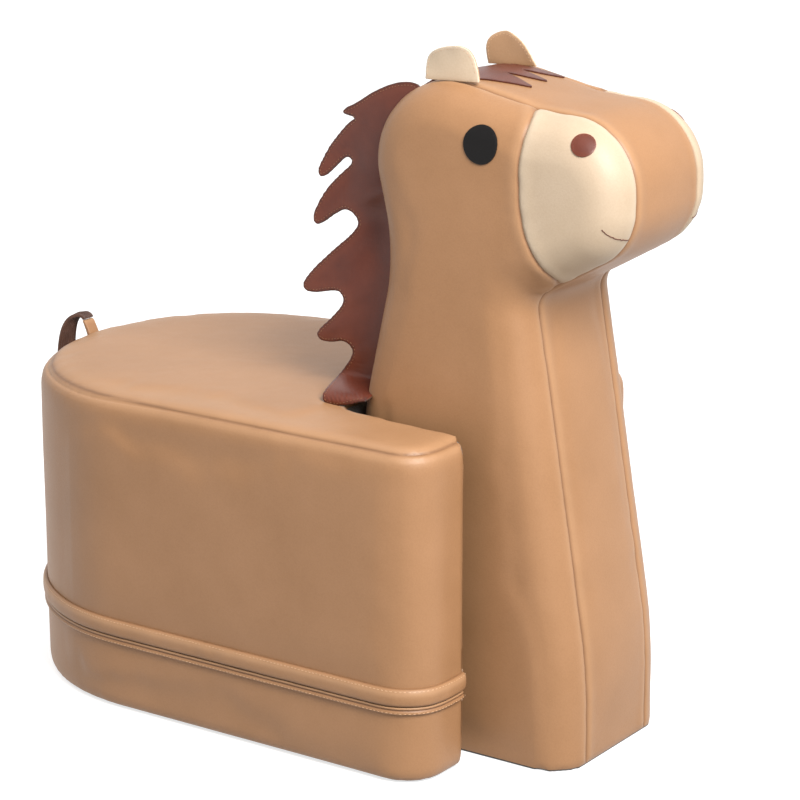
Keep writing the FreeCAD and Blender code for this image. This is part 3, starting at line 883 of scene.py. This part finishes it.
zipFlap = strip("zipFlap", flapLine, flapShape)
# painted shade at the flap's tucked lower edge and its top seam, painted highlight on its rounded top
marked(zipFlap, "creaseShade", lambda co: hump(co.z - 72.8 * mm, 1.2 * mm) + 0.6 * hump(co.z - 88.6 * mm, 0.7 * mm))
marked(zipFlap, "highlightMask", lambda co: hump(co.z - 84.5 * mm, 3 * mm))
dressed(zipFlap, "tan_leather", "seat", ["upper_zip_flap"])
zipHem = strip("zipHem", hemLine, hemShape)
# painted shade in the hem's groove and along its foot, painted highlight on its rounded top
marked(zipHem, "creaseShade", lambda co: hump(co.z - 69.0 * mm, 0.7 * mm) + 0.5 * hump(co.z - 64.4 * mm, 0.7 * mm))
marked(zipHem, "highlightMask", lambda co: hump(co.z - 71.2 * mm, 1 * mm))
dressed(zipHem, "tan_leather", "seat", ["lower_zip_hem"])
sewn("flapStitches", onStrip(flapLine, 3.5 * mm, 86.4 * mm, 3.8 * mm, 0.8), "seat", look="pale_thread", size=0.8)
sewn("hemStitches", onStrip(hemLine, 3.4 * mm, 66.4 * mm, 3.8 * mm, 0), "seat", look="pale_thread", size=0.8)
for nodeName, slotName in {
    "zip_tape_upper": "zip_cloth", "zip_tape_lower": "zip_cloth", "zip_teeth": "zip_nylon",
    "zip_end_stops": "zip_metal", "zip_slider": "zip_metal", "slot_loop_tapes": "grey_lining",
    "neck_hook_tapes": "grey_lining",
}.items():
    node = frame["nodes"][nodeName]
    node.data.materials.clear()
    node.data.materials.append(materials[slotName])
print("zip closure made")


# neck and head block

neck = {
    "half": 85 * mm, "sideRound": 32 * mm, "seam": 50.6 * mm, "crownSeam": 277 * mm, "baseSeam": 2 * mm,
    "corners": [             # the side view: x and z in mm from the arms' fronts and the floor, corner radius
        (88, -60, 0), (88, 88, 420), (32.5, 415, 18), (127, 471, 50), (127, 575, 62), (40, 574, 200),
        (-45, 591, 80), (-126, 591, 70), (-126, 512, 60), (-108, 437, 150), (-140.6, 292, 260), (-140.6, -60, 0),
    ],
    "simVoxel": 5.4 * mm, "voxel": 3.4 * mm, "smoothing": 3, "stiffness": 18, "bending": 8, "pressure": 4,
    "inward": 0.4 * mm, "bulge": 2.2 * mm,
    "patchEdge": [           # where the muzzle patch starts: height, then x, in mm
        (405, 425), (418, 394), (424, 385), (430, 391.5), (436, 394.5), (447, 389), (462, 381), (478, 374),
        (496, 370), (514, 368.5), (532, 368), (551, 369.5), (564, 370.5), (572, 369), (577, 364), (590, 342),
    ],
}
neckSeam = {"depth": 1.5 * mm, "width": 1.4 * mm, "roll": 0.7 * mm, "rollAt": 6 * mm}


def makeNeckBody():
    # one point drawn out round the side view, its corners rounded, then pulled out to the neck's width
    clearPick()
    places = [Vector((seat["front"] + x * mm, -neck["half"], z * mm)) for x, z, radius in neck["corners"]]
    bpy.ops.mesh.primitive_plane_add(size=0.01, location=places[0])
    body = bpy.context.object
    body.name = "neckBody"
    bpy.ops.object.transform_apply(location=True, rotation=True, scale=True)
    bpy.ops.object.mode_set(mode="EDIT")
    bpy.ops.mesh.select_mode(type="VERT")
    bpy.ops.mesh.select_all(action="SELECT")
    bpy.ops.mesh.merge(type="CENTER")
    for last, place in zip(places, places[1:]):
        bpy.ops.mesh.extrude_region_move(TRANSFORM_OT_translate={"value": place - last})
    bpy.ops.mesh.select_all(action="SELECT")
    bpy.ops.mesh.edge_face_add()
    leave()
    for i, (x, z, radius) in enumerate(neck["corners"]):
        if radius:
            before = (places[i - 1] - places[i]).normalized()
            after = (places[(i + 1) % len(places)] - places[i]).normalized()
            run = radius * mm / math.tan(before.angle(after) / 2)
            bevelled(body, "VERTICES", lambda v: (v.co - places[i]).length < mm, run, 12)
    edit(body)
    bpy.ops.mesh.select_all(action="SELECT")
    bpy.ops.mesh.extrude_region_move(TRANSFORM_OT_translate={"value": (0, 2 * neck["half"], 0)})
    bpy.ops.mesh.select_all(action="SELECT")
    bpy.ops.mesh.normals_make_consistent(inside=False)
    leave()
    bevelled(body, "EDGES", lambda e: abs(e.verts[0].co.y - e.verts[1].co.y) < mm, neck["sideRound"], 9)
    sliced(body, Vector((0, 0, 0)), -up, clear="outer")
    return body


def neckReach(spot):
    # the rear stays clear of the slot, and the foot keeps its size
    foot = 1 - 0.8 * hump(spot.z, 40 * mm)
    behind = 0.12 if spot.x < 0.235 and spot.z < 0.31 else 1
    return neck["bulge"] * foot * behind


neckBody = makeNeckBody()
softened(neckBody, {**neck, "reach": neckReach})
moved(neckBody, lambda spot, out: Vector((spot.x, spot.y, max(0, spot.z))))
print("neck body made:", len(neckBody.data.vertices), "points")


def patchX(z):
    return easeThrough(neck["patchEdge"], z / mm) * mm


sliced(neckBody, Vector((0, 0, neck["baseSeam"])), up)
neckFoam = copied(neckBody, "neckFoam")
for side in sides.values():
    seamCuts(neckBody, Vector((0, side * neck["seam"], 0)), Vector((0, side, 0)),
             lambda f: middle(f).y * side > 0.04 and middle(f).y * side < 0.062)
seamCuts(neckBody, Vector((neck["crownSeam"], 0, 0)), Vector((1, 0, 0)),
         lambda f: abs(middle(f).x - neck["crownSeam"]) < 0.012 and middle(f).z > 0.5 and abs(middle(f).y) < neck["seam"])
moved(neckBody, lambda spot, out: Vector((spot.x - patchX(spot.z), spot.y, spot.z)))
for step in (-5, -2.6, -1.2, 0, 1.2, 2.6, 5):
    sliced(neckBody, Vector((step * mm, 0, 0)), Vector((1, 0, 0)),
           lambda f: abs(middle(f).x) < 0.012 and middle(f).z > 0.4 and abs(middle(f).y) > neck["seam"] - 1e-5)
patchLines = {name: lineAlong(neckBody, lambda co: abs(co.x) < tiny and co.y * side > neck["seam"] - tiny)
              for name, side in sides.items()}
moved(neckBody, lambda spot, out: Vector((spot.x + patchX(spot.z), spot.y, spot.z)))
seamLines = {name: lineAlong(neckBody, lambda co: abs(co.y - side * neck["seam"]) < tiny and co.z > 3 * mm)
             for name, side in sides.items()}


def patchDistance(spot):
    if spot.z < 0.4 or abs(spot.y) < neck["seam"] or spot.x < 0.3:
        return 1
    return abs(spot.x - patchX(spot.z)) * 0.9


def neckSeamDistance(spot):
    return abs(abs(spot.y) - neck["seam"])


def neckSewn(spot, out):
    if spot.z < 4 * mm:
        return spot
    seamAway = neckSeamDistance(spot)
    patchAway = patchDistance(spot)
    quiet = 0.3 if spot.x < 0.235 and spot.z < 0.3 else 1
    lift = seamRelief(seamAway, neckSeam) + seamRelief(patchAway, neckSeam) * 0.8
    if abs(spot.y) < neck["seam"] and spot.z > 0.5:
        lift -= 1.0 * mm * hump(spot.x - neck["crownSeam"], 1.4 * mm)
    nearest = min(seamAway, patchAway)
    wave = noise.noise(spot / pucker["every"]) * pucker["high"] * math.exp(-nearest / pucker["reach"])
    broad = noise.noise(spot * 9) * 0.8 * mm
    gusset = 0
    if abs(spot.y) < neck["seam"]:
        gusset = 3.0 * mm * (1 - (spot.y / neck["seam"]) ** 2) * (1 - 0.9 * hump(spot.z, 60 * mm))
        gusset = 0 if spot.x < 0.235 and spot.z < 0.32 else gusset
    return spot + out * (lift + (wave + broad) * quiet + gusset)


moved(neckBody, neckSewn)
# painted shade along the side and patch seams, painted highlight on the rolls beside them
marked(neckBody, "creaseShade", lambda co: max(hump(neckSeamDistance(co), 1.2 * mm), hump(patchDistance(co), 1.1 * mm)))
marked(neckBody, "highlightMask", lambda co: 0.6 * hump(min(neckSeamDistance(co), patchDistance(co)) - 4 * mm, 4 * mm))
seamLines = {name: calmed(readLine(neckBody, line), 2) for name, line in seamLines.items()}
patchLines = {name: calmed(readLine(neckBody, line), 2) for name, line in patchLines.items()}
print("neck seams sewn:", {name: len(line) for name, line in seamLines.items()},
      {name: len(line) for name, line in patchLines.items()})

neckSurface = BVHTree.FromObject(neckBody, bpy.context.evaluated_depsgraph_get())
neckBase = cutOff(neckBody, "neckBasePanel", lambda f: middle(f).z < neck["baseSeam"])
dressed(smoothed(walled(neckBase)), "base_fabric", "neck", ["neck_bottom_panel"])
frontGusset = cutOff(neckBody, "neckFrontGusset", lambda f: abs(middle(f).y) < neck["seam"]
                     and middle(f).x > neck["crownSeam"])
rearGusset = cutOff(neckBody, "neckRearGusset", lambda f: abs(middle(f).y) < neck["seam"])
dressed(smoothed(walled(frontGusset)), "tan_leather", "neck", ["neck_front_gusset"])
dressed(smoothed(walled(rearGusset)), "tan_leather", "neck", ["neck_rear_gusset"])
for name, side in sides.items():
    patch = cutOff(neckBody, name + "MuzzlePatch", lambda f: middle(f).y * side > 0 and middle(f).z > 0.4
                   and middle(f).x > patchX(middle(f).z))
    dressed(smoothed(walled(patch)), "cream_leather", "neck", [name + "_muzzle_patch"])
rightPanel = cutOff(neckBody, "rightSidePanel", lambda f: middle(f).y < 0)
dressed(smoothed(walled(rightPanel)), "tan_leather", "neck", ["right_side_panel"])
neckBody.name = "leftSidePanel"
dressed(smoothed(walled(neckBody)), "tan_leather", "neck", ["left_side_panel"])
moved(neckFoam, lambda spot, out: spot - out * 3.6 * mm)
smoothed(neckFoam)
dressed(neckFoam, "foam", "neck", ["neck_foam_core"])
for name in sides:
    sewn(name + "SeamStitches", evenly(seamLines[name], stitchShape["pitch"]), "neck", size=0.62, sink=0.1 * mm)
    sewn(name + "PatchStitches", evenly(patchLines[name], stitchShape["pitch"]), "neck", size=0.62, sink=0.1 * mm)
print("neck panels made")


# pieces drawn as an outline, filled and cut into small cells so that they can bend

def throughPoints(points, step):
    # a smooth run through the points, with a place every few millimetres
    run = []
    for i in range(len(points) - 1):
        a = points[max(i - 1, 0)]
        b, c = points[i], points[i + 1]
        d = points[min(i + 2, len(points) - 1)]
        count = max(1, round((c - b).length / step))
        for k in range(count):
            t = k / count
            run.append(((b * 2) + (c - a) * t + (a * 2 - b * 5 + c * 4 - d) * t ** 2
                        + (b * 3 - a - c * 3 + d) * t ** 3) / 2)
    run.append(points[-1])
    return run


def drawnOut(name, places):
    # one point extruded from place to place, the loop closed and filled
    clearPick()
    bpy.ops.mesh.primitive_plane_add(size=0.01, location=places[0])
    piece = bpy.context.object
    piece.name = name
    bpy.ops.object.transform_apply(location=True, rotation=True, scale=True)
    bpy.ops.object.mode_set(mode="EDIT")
    bpy.ops.mesh.select_mode(type="VERT")
    bpy.ops.mesh.select_all(action="SELECT")
    bpy.ops.mesh.merge(type="CENTER")
    for last, place in zip(places, places[1:]):
        bpy.ops.mesh.extrude_region_move(TRANSFORM_OT_translate={"value": place - last})
    shape = bmesh.from_edit_mesh(piece.data)
    ends = [v for v in shape.verts if len(v.link_edges) == 1]
    bpy.ops.mesh.select_all(action="DESELECT")
    for end in ends:
        end.select_set(True)
    shape.select_flush_mode()
    bpy.ops.mesh.edge_face_add()
    bpy.ops.mesh.select_all(action="SELECT")
    bpy.ops.mesh.fill(use_beauty=True)
    leave()
    return piece


def celled(piece, ways, step):
    # a grid of cuts across the piece
    low, high = [Vector(f(v.co[i] for v in piece.data.vertices) for i in range(3)) for f in (min, max)]
    edit(piece)
    for way in ways:
        at = low.dot(way) + step
        while at < high.dot(way):
            bpy.ops.mesh.select_all(action="SELECT")
            bpy.ops.mesh.bisect(plane_co=way * at, plane_no=way, threshold=1e-6)
            at += step
    bpy.ops.mesh.select_all(action="SELECT")
    bpy.ops.mesh.remove_doubles(threshold=0.0002)
    leave()
    return piece


def facing(piece, way):
    # every face of a flat piece turned to one side
    edit(piece)
    pick(piece, "faces", lambda f: f.normal.dot(way) < 0)
    bpy.ops.mesh.flip_normals()
    leave()
    return piece


def eased(t):
    t = max(0, min(1, t))
    return t * t * (3 - 2 * t)


# mane: a double flap of leather sewn into each rear side seam

mane = {
    "edge": [                # the free edge from crown to seat: x and z in mm from the arms' fronts and the floor
        (-90, 584), (-98, 586), (-109, 585), (-120, 582), (-138, 574), (-158, 562), (-170, 556), (-172, 551.5),
        (-167, 549.5), (-161, 548), (-170, 541), (-188, 522), (-197, 508), (-202, 497), (-199, 491.5), (-192, 494),
        (-181, 504), (-173, 511), (-167.5, 511), (-167, 506), (-176, 498), (-190, 484), (-200, 469), (-205, 456),
        (-201.5, 449.5), (-194, 451), (-181, 460), (-169, 466), (-160, 463), (-156, 455), (-163, 444), (-183, 426),
        (-202, 408), (-212, 395), (-209.5, 388.5), (-200, 387.5), (-184, 391), (-173, 392), (-168, 387), (-171, 379),
        (-183, 366), (-193, 357), (-198, 349.5), (-194, 344.5), (-184, 344), (-170, 346.5), (-163, 342), (-163, 333),
        (-175, 316), (-188, 302), (-196, 291), (-193, 284), (-182, 283), (-165, 287), (-150, 292),
    ],
    "thick": 2.2 * mm, "cell": 4.5 * mm, "sunk": 2.5 * mm, "foldHigh": 4.2 * mm,
    "droop": Vector((2.0, 2.7, 1.0)), "droopFrom": 318 * mm, "droopOver": 30 * mm, "droopLift": 16 * mm,
    "stitchIn": 2.8 * mm,
}


def maneBend(spot, side, rootX):
    # folds fan out from the root, and the lowest lock lies over onto the seat
    back = max(0, rootX(spot.z) - spot.x)
    free = eased(back / (55 * mm))
    along = (rootX(spot.z) - spot.x) * 0.77 + (0.6 - spot.z) * 0.64
    across = (rootX(spot.z) - spot.x) * -0.64 + (0.6 - spot.z) * 0.77
    fold = noise.noise(Vector((along * 9, across * 34, 2.7))) * mane["foldHigh"]
    fold += noise.noise(Vector((along * 30, across * 70, 8.1))) * 0.9 * mm
    pinch = 3.4 * mm * hump(spot.z - 0.497 + back * 0.45, 9 * mm) * hump(back - 20 * mm, 34 * mm)
    hollow = -4.2 * mm * hump(spot.z - 0.465 + back * 0.2, 16 * mm) * hump(back - 22 * mm, 22 * mm)
    valley = -3.0 * mm * hump(back - 26 * mm, 15 * mm) * eased((0.47 - spot.z) / 0.05)
    out = fold * (0.25 + 0.75 * free) + (pinch + hollow + valley) * eased(back / (12 * mm))
    out += 5 * mm * free * math.sin(spot.z * 21)
    lift = mane["droopLift"] * eased((mane["droopFrom"] - spot.z) / mane["droopOver"]) * eased(back / (8 * mm))
    return Vector((spot.x + mane["droop"].x * lift, side * (neck["seam"] + out + mane["droop"].y * lift),
                   spot.z + mane["droop"].z * lift))


rearSeam = [spot - out * mane["sunk"] for spot, along, out in evenly(seamLines["right"], 6 * mm)
            if spot.x < 0.252 and spot.z > 0.302]
if rearSeam[0].z > rearSeam[-1].z:
    rearSeam.reverse()
rootTable = [(spot.z, spot.x) for spot in rearSeam if spot.z < 0.56]


def maneRootX(z):
    return easeThrough(rootTable, z)


def makeMane(name, side):
    free = [Vector((seat["front"] + x * mm, 0, z * mm)) for x, z in mane["edge"]]
    free = throughPoints(free, 3 * mm)
    root = [Vector((spot.x, 0, spot.z)) for spot in rearSeam]
    flap = drawnOut(name + "Mane", free + root)
    celled(flap, (Vector((1, 0, 0)), Vector((0, 0, 1))), mane["cell"])
    facing(flap, Vector((0, side, 0)))
    moved(flap, lambda spot, out: maneBend(spot, side, maneRootX))
    bentEdge = [maneBend(spot, side, maneRootX) for spot in free]
    # painted shade along the flap's free edge, painted highlight on a band just inside it
    marked(flap, "creaseShade", lambda co: hump(min((co - place).length for place in bentEdge), 1.6 * mm) * 0.8)
    marked(flap, "highlightMask", lambda co: hump(min((co - place).length for place in bentEdge) - 5 * mm, 3.5 * mm) * 0.5)
    flap.data.materials.append(materials["chestnut_leather"])
    flap.data.materials.append(materials["dark_leather"])
    applied(flap, "SOLIDIFY", thickness=mane["thick"], offset=0, use_even_offset=False, material_offset_rim=1)
    applied(flap, "SUBSURF", levels=1, render_levels=1)
    smoothed(flap, 60)
    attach(flap, "neck")
    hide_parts(name + "_mane")
    spots = []
    for place, following in zip(free, free[1:]):
        way = (following - place).normalized()
        inside = Vector((-way.z, 0, way.x))
        spots.append((place + inside * mane["stitchIn"], way))
    rows = []
    for face in (1, -1):
        line = []
        for place, way in spots:
            here = maneBend(place, side, maneRootX)
            ahead = maneBend(place + way * mm, side, maneRootX)
            above = maneBend(place + Vector((-way.z, 0, way.x)) * mm, side, maneRootX)
            out = (ahead - here).cross(above - here).normalized()
            if out.y * side * face < 0:
                out = -out
            line.append((here + out * mane["thick"] * 0.5, out))
        rows += evenly(line, 3.4 * mm)
    sewn(name + "ManeStitches", rows, "neck", size=0.62, sink=0.05 * mm)


for name, side in sides.items():
    makeMane(name, side)
print("manes made")


# ears: a cream layer outside and a tan one inside, cupped a little

ear = {
    "outline": {             # x and z in mm from the arms' fronts and the floor
        "right": [(-84, 590), (-83, 604), (-80, 611), (-73.5, 616), (-64, 619.5), (-53, 621.5), (-46, 621.5),
                  (-39.5, 619), (-35, 613), (-31.5, 604), (-28.5, 591.5)],
        "left": [(-85.5, 590), (-87, 603), (-84.5, 612), (-78, 617.5), (-69, 620), (-60, 617), (-50.5, 611),
                 (-42, 602), (-35, 591.5)],
    },
    "layer": 1.3 * mm, "cell": 3.5 * mm, "cup": 5.0 * mm, "lean": 3 * mm,
}


def makeEar(name, side):
    points = [Vector((seat["front"] + x * mm, 0, z * mm)) for x, z in ear["outline"][name]]
    run = throughPoints(points, 2.5 * mm)
    foot = points[0].z
    centre = (points[0].x + points[-1].x) / 2
    half = (points[-1].x - points[0].x) / 2

    def bent(spot, lift):
        # cupped across its width and leaning out as it rises
        rise = (spot.z - foot) / (30 * mm)
        across = (spot.x - centre) / half
        out = -ear["cup"] * across ** 2 * rise + ear["lean"] * rise ** 1.5
        out += 0.7 * mm * noise.noise(spot * 60) * rise
        return Vector((spot.x, side * (neck["seam"] + out + lift), spot.z))

    # each layer wears the paler copy of its leather, painted light for the raised ears
    for layer, place, slot, look in (("Outer", 1, "cream_leather", "ear_cream_lit_leather"), ("Inner", -1, "tan_leather", "ear_tan_lit_leather")):
        piece = drawnOut(name + "Ear" + layer, run)
        celled(piece, (Vector((1, 0, 0)), Vector((0, 0, 1))), ear["cell"])
        facing(piece, Vector((0, side * place, 0)))
        lift = place * ear["layer"] * 0.5
        moved(piece, lambda spot, out: bent(spot, lift))
        edgeLine = [bent(spot, lift) for spot in run]
        # painted shade at the ear's foot where it meets the seam, painted highlight along its edge
        marked(piece, "creaseShade", lambda co: hump(co.z - foot, 3 * mm) * 0.6)
        marked(piece, "highlightMask", lambda co: hump(min((co - spot).length for spot in edgeLine), 2.2 * mm))
        applied(piece, "SOLIDIFY", thickness=ear["layer"] * 0.96, offset=0, use_even_offset=False)
        applied(piece, "SUBSURF", levels=1, render_levels=1)
        smoothed(piece, 60)
        dressed(piece, slot, name + "_ear", [name + "_ear_" + layer.lower()], look=look)
    rows = []
    for face in (1, -1):
        line = []
        for place, following in zip(run[2:-3], run[3:-2]):
            way = (following - place).normalized()
            spot = place + Vector((way.z, 0, -way.x)) * 2.6 * mm
            line.append((bent(spot, face * ear["layer"] * 1.02), Vector((0, side * face, 0))))
        rows += evenly(line, 3.4 * mm)
    sewn(name + "EarStitches", rows, name + "_ear", look="pale_thread", size=0.55, sink=0.05 * mm)


for name, side in sides.items():
    makeEar(name, side)
print("ears made")


# pieces laid on the neck's skin

def onSkin(spot, way, lift):
    # where a point lands on the neck, looking along one way
    hit, out, index, gone = neckSurface.ray_cast(spot - way * 0.3, way)
    if hit is None:
        hit, out, index, gone = neckSurface.find_nearest(spot)
    return hit + out * lift, out


def laidOn(piece, way, thick):
    # draped on the skin, then given its thickness outwards and a rounded cut edge
    moved(piece, lambda spot, out: onSkin(spot, way, 0.15 * mm)[0])
    facing(piece, -way)
    applied(piece, "SOLIDIFY", thickness=thick, offset=1, use_even_offset=False)
    applied(piece, "BEVEL", width=0.3 * mm, segments=2, limit_method="ANGLE", angle_limit=math.radians(60))
    return smoothed(piece, 40)


discs = {
    "eye": {"x": 331 * mm, "z": 547 * mm, "radius": 16.5 * mm, "thick": 1.1 * mm, "slot": "black_leather"},
    "nostril": {"x": 425 * mm, "z": 555.5 * mm, "radius": 10.2 * mm, "thick": 1.0 * mm, "slot": "chestnut_leather"},
}
for name, side in sides.items():
    for part, shape in discs.items():
        centre, face = onSkin(Vector((shape["x"], side * 0.12, shape["z"])), Vector((0, -side, 0)), 0)
        tilt = face.to_track_quat("Z", "Y")
        clearPick()
        bpy.ops.mesh.primitive_circle_add(vertices=56, radius=shape["radius"], fill_type="NGON",
                                          location=centre + face * 0.04, rotation=tilt.to_euler())
        disc = bpy.context.object
        disc.name = name + part.title()
        bpy.ops.object.transform_apply(location=True, rotation=True, scale=True)
        celled(disc, (tilt @ Vector((1, 0, 0)), tilt @ Vector((0, 1, 0))), 3 * mm)
        laidOn(disc, -face, shape["thick"])
        # painted highlight round the disc's rim
        marked(disc, "highlightMask", lambda co: hump((co - centre).length - shape["radius"], 1.2 * mm) * 0.6)
        dressed(disc, shape["slot"], "neck", [name + "_" + part])
        ring = []
        for step in range(61):
            turn = math.tau * step / 60
            spot = tilt @ Vector((math.cos(turn), math.sin(turn), 0)) * (shape["radius"] - 1.7 * mm)
            ring.append(onSkin(centre + spot + face * 0.04, -face, shape["thick"] + 0.1 * mm))
        sewn(name + part.title() + "Stitches", evenly(ring, 2.6 * mm), "neck", look=shape["slot"], size=0.5,
             sink=0.05 * mm)

mouth = {"line": [(447.5, 82, 486), (451, 79.5, 482), (455, 76, 478.5), (458, 72, 476), (460.5, 66, 474), (462, 58, 472.5),
                  (462.5, 52, 472)], "pitch": 1.9 * mm}
for name, side in sides.items():
    points = throughPoints([Vector((x, side * y, z)) * mm for x, y, z in mouth["line"]], 1 * mm)
    line = []
    for spot in points:
        hit, out, index, gone = neckSurface.find_nearest(spot)
        line.append((hit + out * 0.2 * mm, out))
    sewn(name + "MouthStitches", evenly(line, mouth["pitch"]), "neck", look="chestnut_leather", size=0.9, sink=0)
    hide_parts(name + "_mouth_stitch")

forelock = {
    "edge": [                # x and y in mm from the arms' fronts and the centre line
        (-84, -40), (-62, -39.5), (-44, -37), (-26, -31), (-10, -24), (2.5, -18), (-8, -12), (-22, -6), (-33, -1.5),
        (-31, -0.5), (-22, 1.5), (-10, 5), (0, 10.5), (-10, 14.5), (-22, 18), (-33, 22), (-30, 24), (-18, 28.5),
        (-8, 36), (-3, 44), (-20, 43.5), (-46, 42.5), (-84, 41),
    ],
    "thick": 1.2 * mm,
}
places = [Vector((seat["front"] + x * mm, y * mm, 0.62)) for x, y in forelock["edge"]]
lockLine = throughPoints(places, 3 * mm)
fringe = drawnOut("forelock", lockLine)
celled(fringe, (Vector((1, 0, 0)), Vector((0, 1, 0))), 4 * mm)
laidOn(fringe, -up, forelock["thick"])
# painted shade along the forelock's edge
marked(fringe, "creaseShade", lambda co: 0.7 * hump(min(math.hypot(co.x - p.x, co.y - p.y) for p in lockLine), 1.2 * mm))
dressed(fringe, "chestnut_leather", "neck", ["forelock"])
print("face and forelock made")


# tail: a tan tab on the rear rim grips a fringe of narrow strips

tail = {
    "tabWide": 14 * mm, "tabThick": 4.6 * mm, "tabLean": 7 * mm, "count": 7, "round": 0.75 * mm, "flat": 0.95 * mm,
}
tabLow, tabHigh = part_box("tail_tab")
tab = addBlock("tailTab", Vector((tabLow.x, tabLow.y, tabLow.z - 4 * mm)), tabHigh)
celled(tab, (Vector((0, 0, 1)),), 5 * mm)
bevelled(tab, "EDGES", lambda e: e.calc_face_angle(0) > 0.5, 1.3 * mm, 3)


def tabBent(spot, out):
    rise = max(0, (spot.z - tabLow.z) / (tabHigh.z - tabLow.z))
    slim = 1 - 0.3 * rise
    middleX = (tabLow.x + tabHigh.x) / 2
    return Vector((middleX + 3.2 * mm + (spot.x - middleX) * slim - tail["tabLean"] * rise ** 1.2, spot.y, spot.z))


moved(tab, tabBent)
# painted highlight along the tab's top
marked(tab, "highlightMask", lambda co: hump(co.z - tabHigh.z, 2 * mm))
dressed(smoothed(tab, 40), "tan_leather", "seat", ["tail_tab"])
tabTop = Vector(((tabLow.x + tabHigh.x) / 2 + 3.2 * mm - tail["tabLean"], 0, tabHigh.z))
hanks = []
for i in range(tail["count"]):
    place = i - (tail["count"] - 1) / 2
    stray = noise.noise(Vector((i * 3.7, 0.5, 0.2)))
    points = [
        (tabTop.x + 0.6 * mm, place * 1.95 * mm, tabTop.z + 0.9 * mm),
        (tabTop.x - 1.5 * mm, place * 2.0 * mm - 0.6 * mm, tabTop.z + (5.2 + 0.8 * stray) * mm),
        (tabTop.x - 8 * mm, place * 2.4 * mm - 4 * mm, tabTop.z + (7.2 - 0.5 * abs(place)) * mm),
        (tabTop.x - 15.5 * mm, place * 2.9 * mm - 8 * mm, tabTop.z - 1.5 * mm),
        (tabTop.x - (18.5 + stray) * mm, place * 3.6 * mm - 12 * mm, tabTop.z - 20 * mm),
        (tabTop.x - (17 + 1.5 * stray) * mm, place * 4.4 * mm - 16 * mm, tabTop.z - 70 * mm),
        (tabTop.x - (14 + 2 * stray) * mm, (place * 4.9 + 2 * stray) * mm - 17 * mm, tabTop.z - 125 * mm),
        (tabTop.x - (15 - stray) * mm, (place * 5.3 - 2 * stray) * mm - 18 * mm, tabTop.z - (178 - 7 * abs(place)) * mm),
    ]
    curve = bpy.data.curves.new("tailStrip", "CURVE")
    curve.dimensions = "3D"
    spline = curve.splines.new("NURBS")
    spline.points.add(len(points) - 1)
    for knot, spot in zip(spline.points, points):
        knot.co = (*spot, 1)
    spline.order_u = 4
    spline.use_endpoint_u = True
    spline.resolution_u = 5
    curve.twist_mode = "Z_UP"
    curve.bevel_depth = tail["round"]
    curve.extrude = tail["flat"]
    curve.bevel_resolution = 2
    curve.use_fill_caps = True
    hank = bpy.data.objects.new("tailStrip", curve)
    bpy.context.scene.collection.objects.link(hank)
    focus(hank)
    bpy.ops.object.convert(target="MESH")
    hanks.append(bpy.context.object)
clearPick()
for hank in hanks:
    hank.select_set(True)
bpy.context.view_layer.objects.active = hanks[0]
bpy.ops.object.join()
fringeTail = hanks[0]
fringeTail.name = "tailStrips"
dressed(smoothed(fringeTail, 50), "dark_leather", "tail", ["tail_strips"])
print("tail made")


clearPick()
bpy.ops.mesh.primitive_plane_add(size=studio["floorSize"], location=(0, 0, -0.2 * mm))
floor = bpy.context.object
floor.name = "floor"
bpy.ops.object.transform_apply(location=True, rotation=True, scale=True)
floorPaint = newMaterial("lit matt acrylic studio floor")
floorPlace = addNode(floorPaint, "ShaderNodeTexCoord", {})
floorCloud = addNode(floorPaint, "ShaderNodeTexNoise", {"Scale": 1.5, "Detail": 2}, {"Vector": (floorPlace, "Object")})
floorTone = addNode(floorPaint, "ShaderNodeValToRGB",
                    {"stops": [(0.0, hexColour("#B2B2B1")), (1.0, hexColour("#B8B8B8"))]}, {"Fac": (floorCloud, "Fac")})
shaded(floorPaint, {"Roughness": 0.9, "Specular IOR Level": 0.1, "Emission Color": (1, 1, 1, 1),
                    "Emission Strength": studio["floorGlow"]}, {"Base Color": (floorTone, "Color")})
floor.data.materials.append(floorPaint)
floor.visible_diffuse = False   # the floor's glow doesn't light the horse's flanks
world = bpy.data.worlds.new("whiteTent")
bpy.context.scene.world = world
world.use_nodes = True
tentPlace = addNode(world, "ShaderNodeTexCoord", {})
tentShare = addNode(world, "ShaderNodeVectorMath", {"operation": "DOT_PRODUCT", 1: studio["tentWay"]},
                    {0: (tentPlace, "Generated")})
tentGlow = addNode(world, "ShaderNodeMapRange", {"From Min": -1, "To Min": studio["tentFront"],
                                                 "To Max": studio["tentBack"]}, {"Value": (tentShare, "Value")})
world.node_tree.links.new(tentGlow.outputs["Result"], world.node_tree.nodes["Background"].inputs["Strength"])
world.node_tree.nodes["Background"].inputs["Color"].default_value = (1, 1, 1, 1)
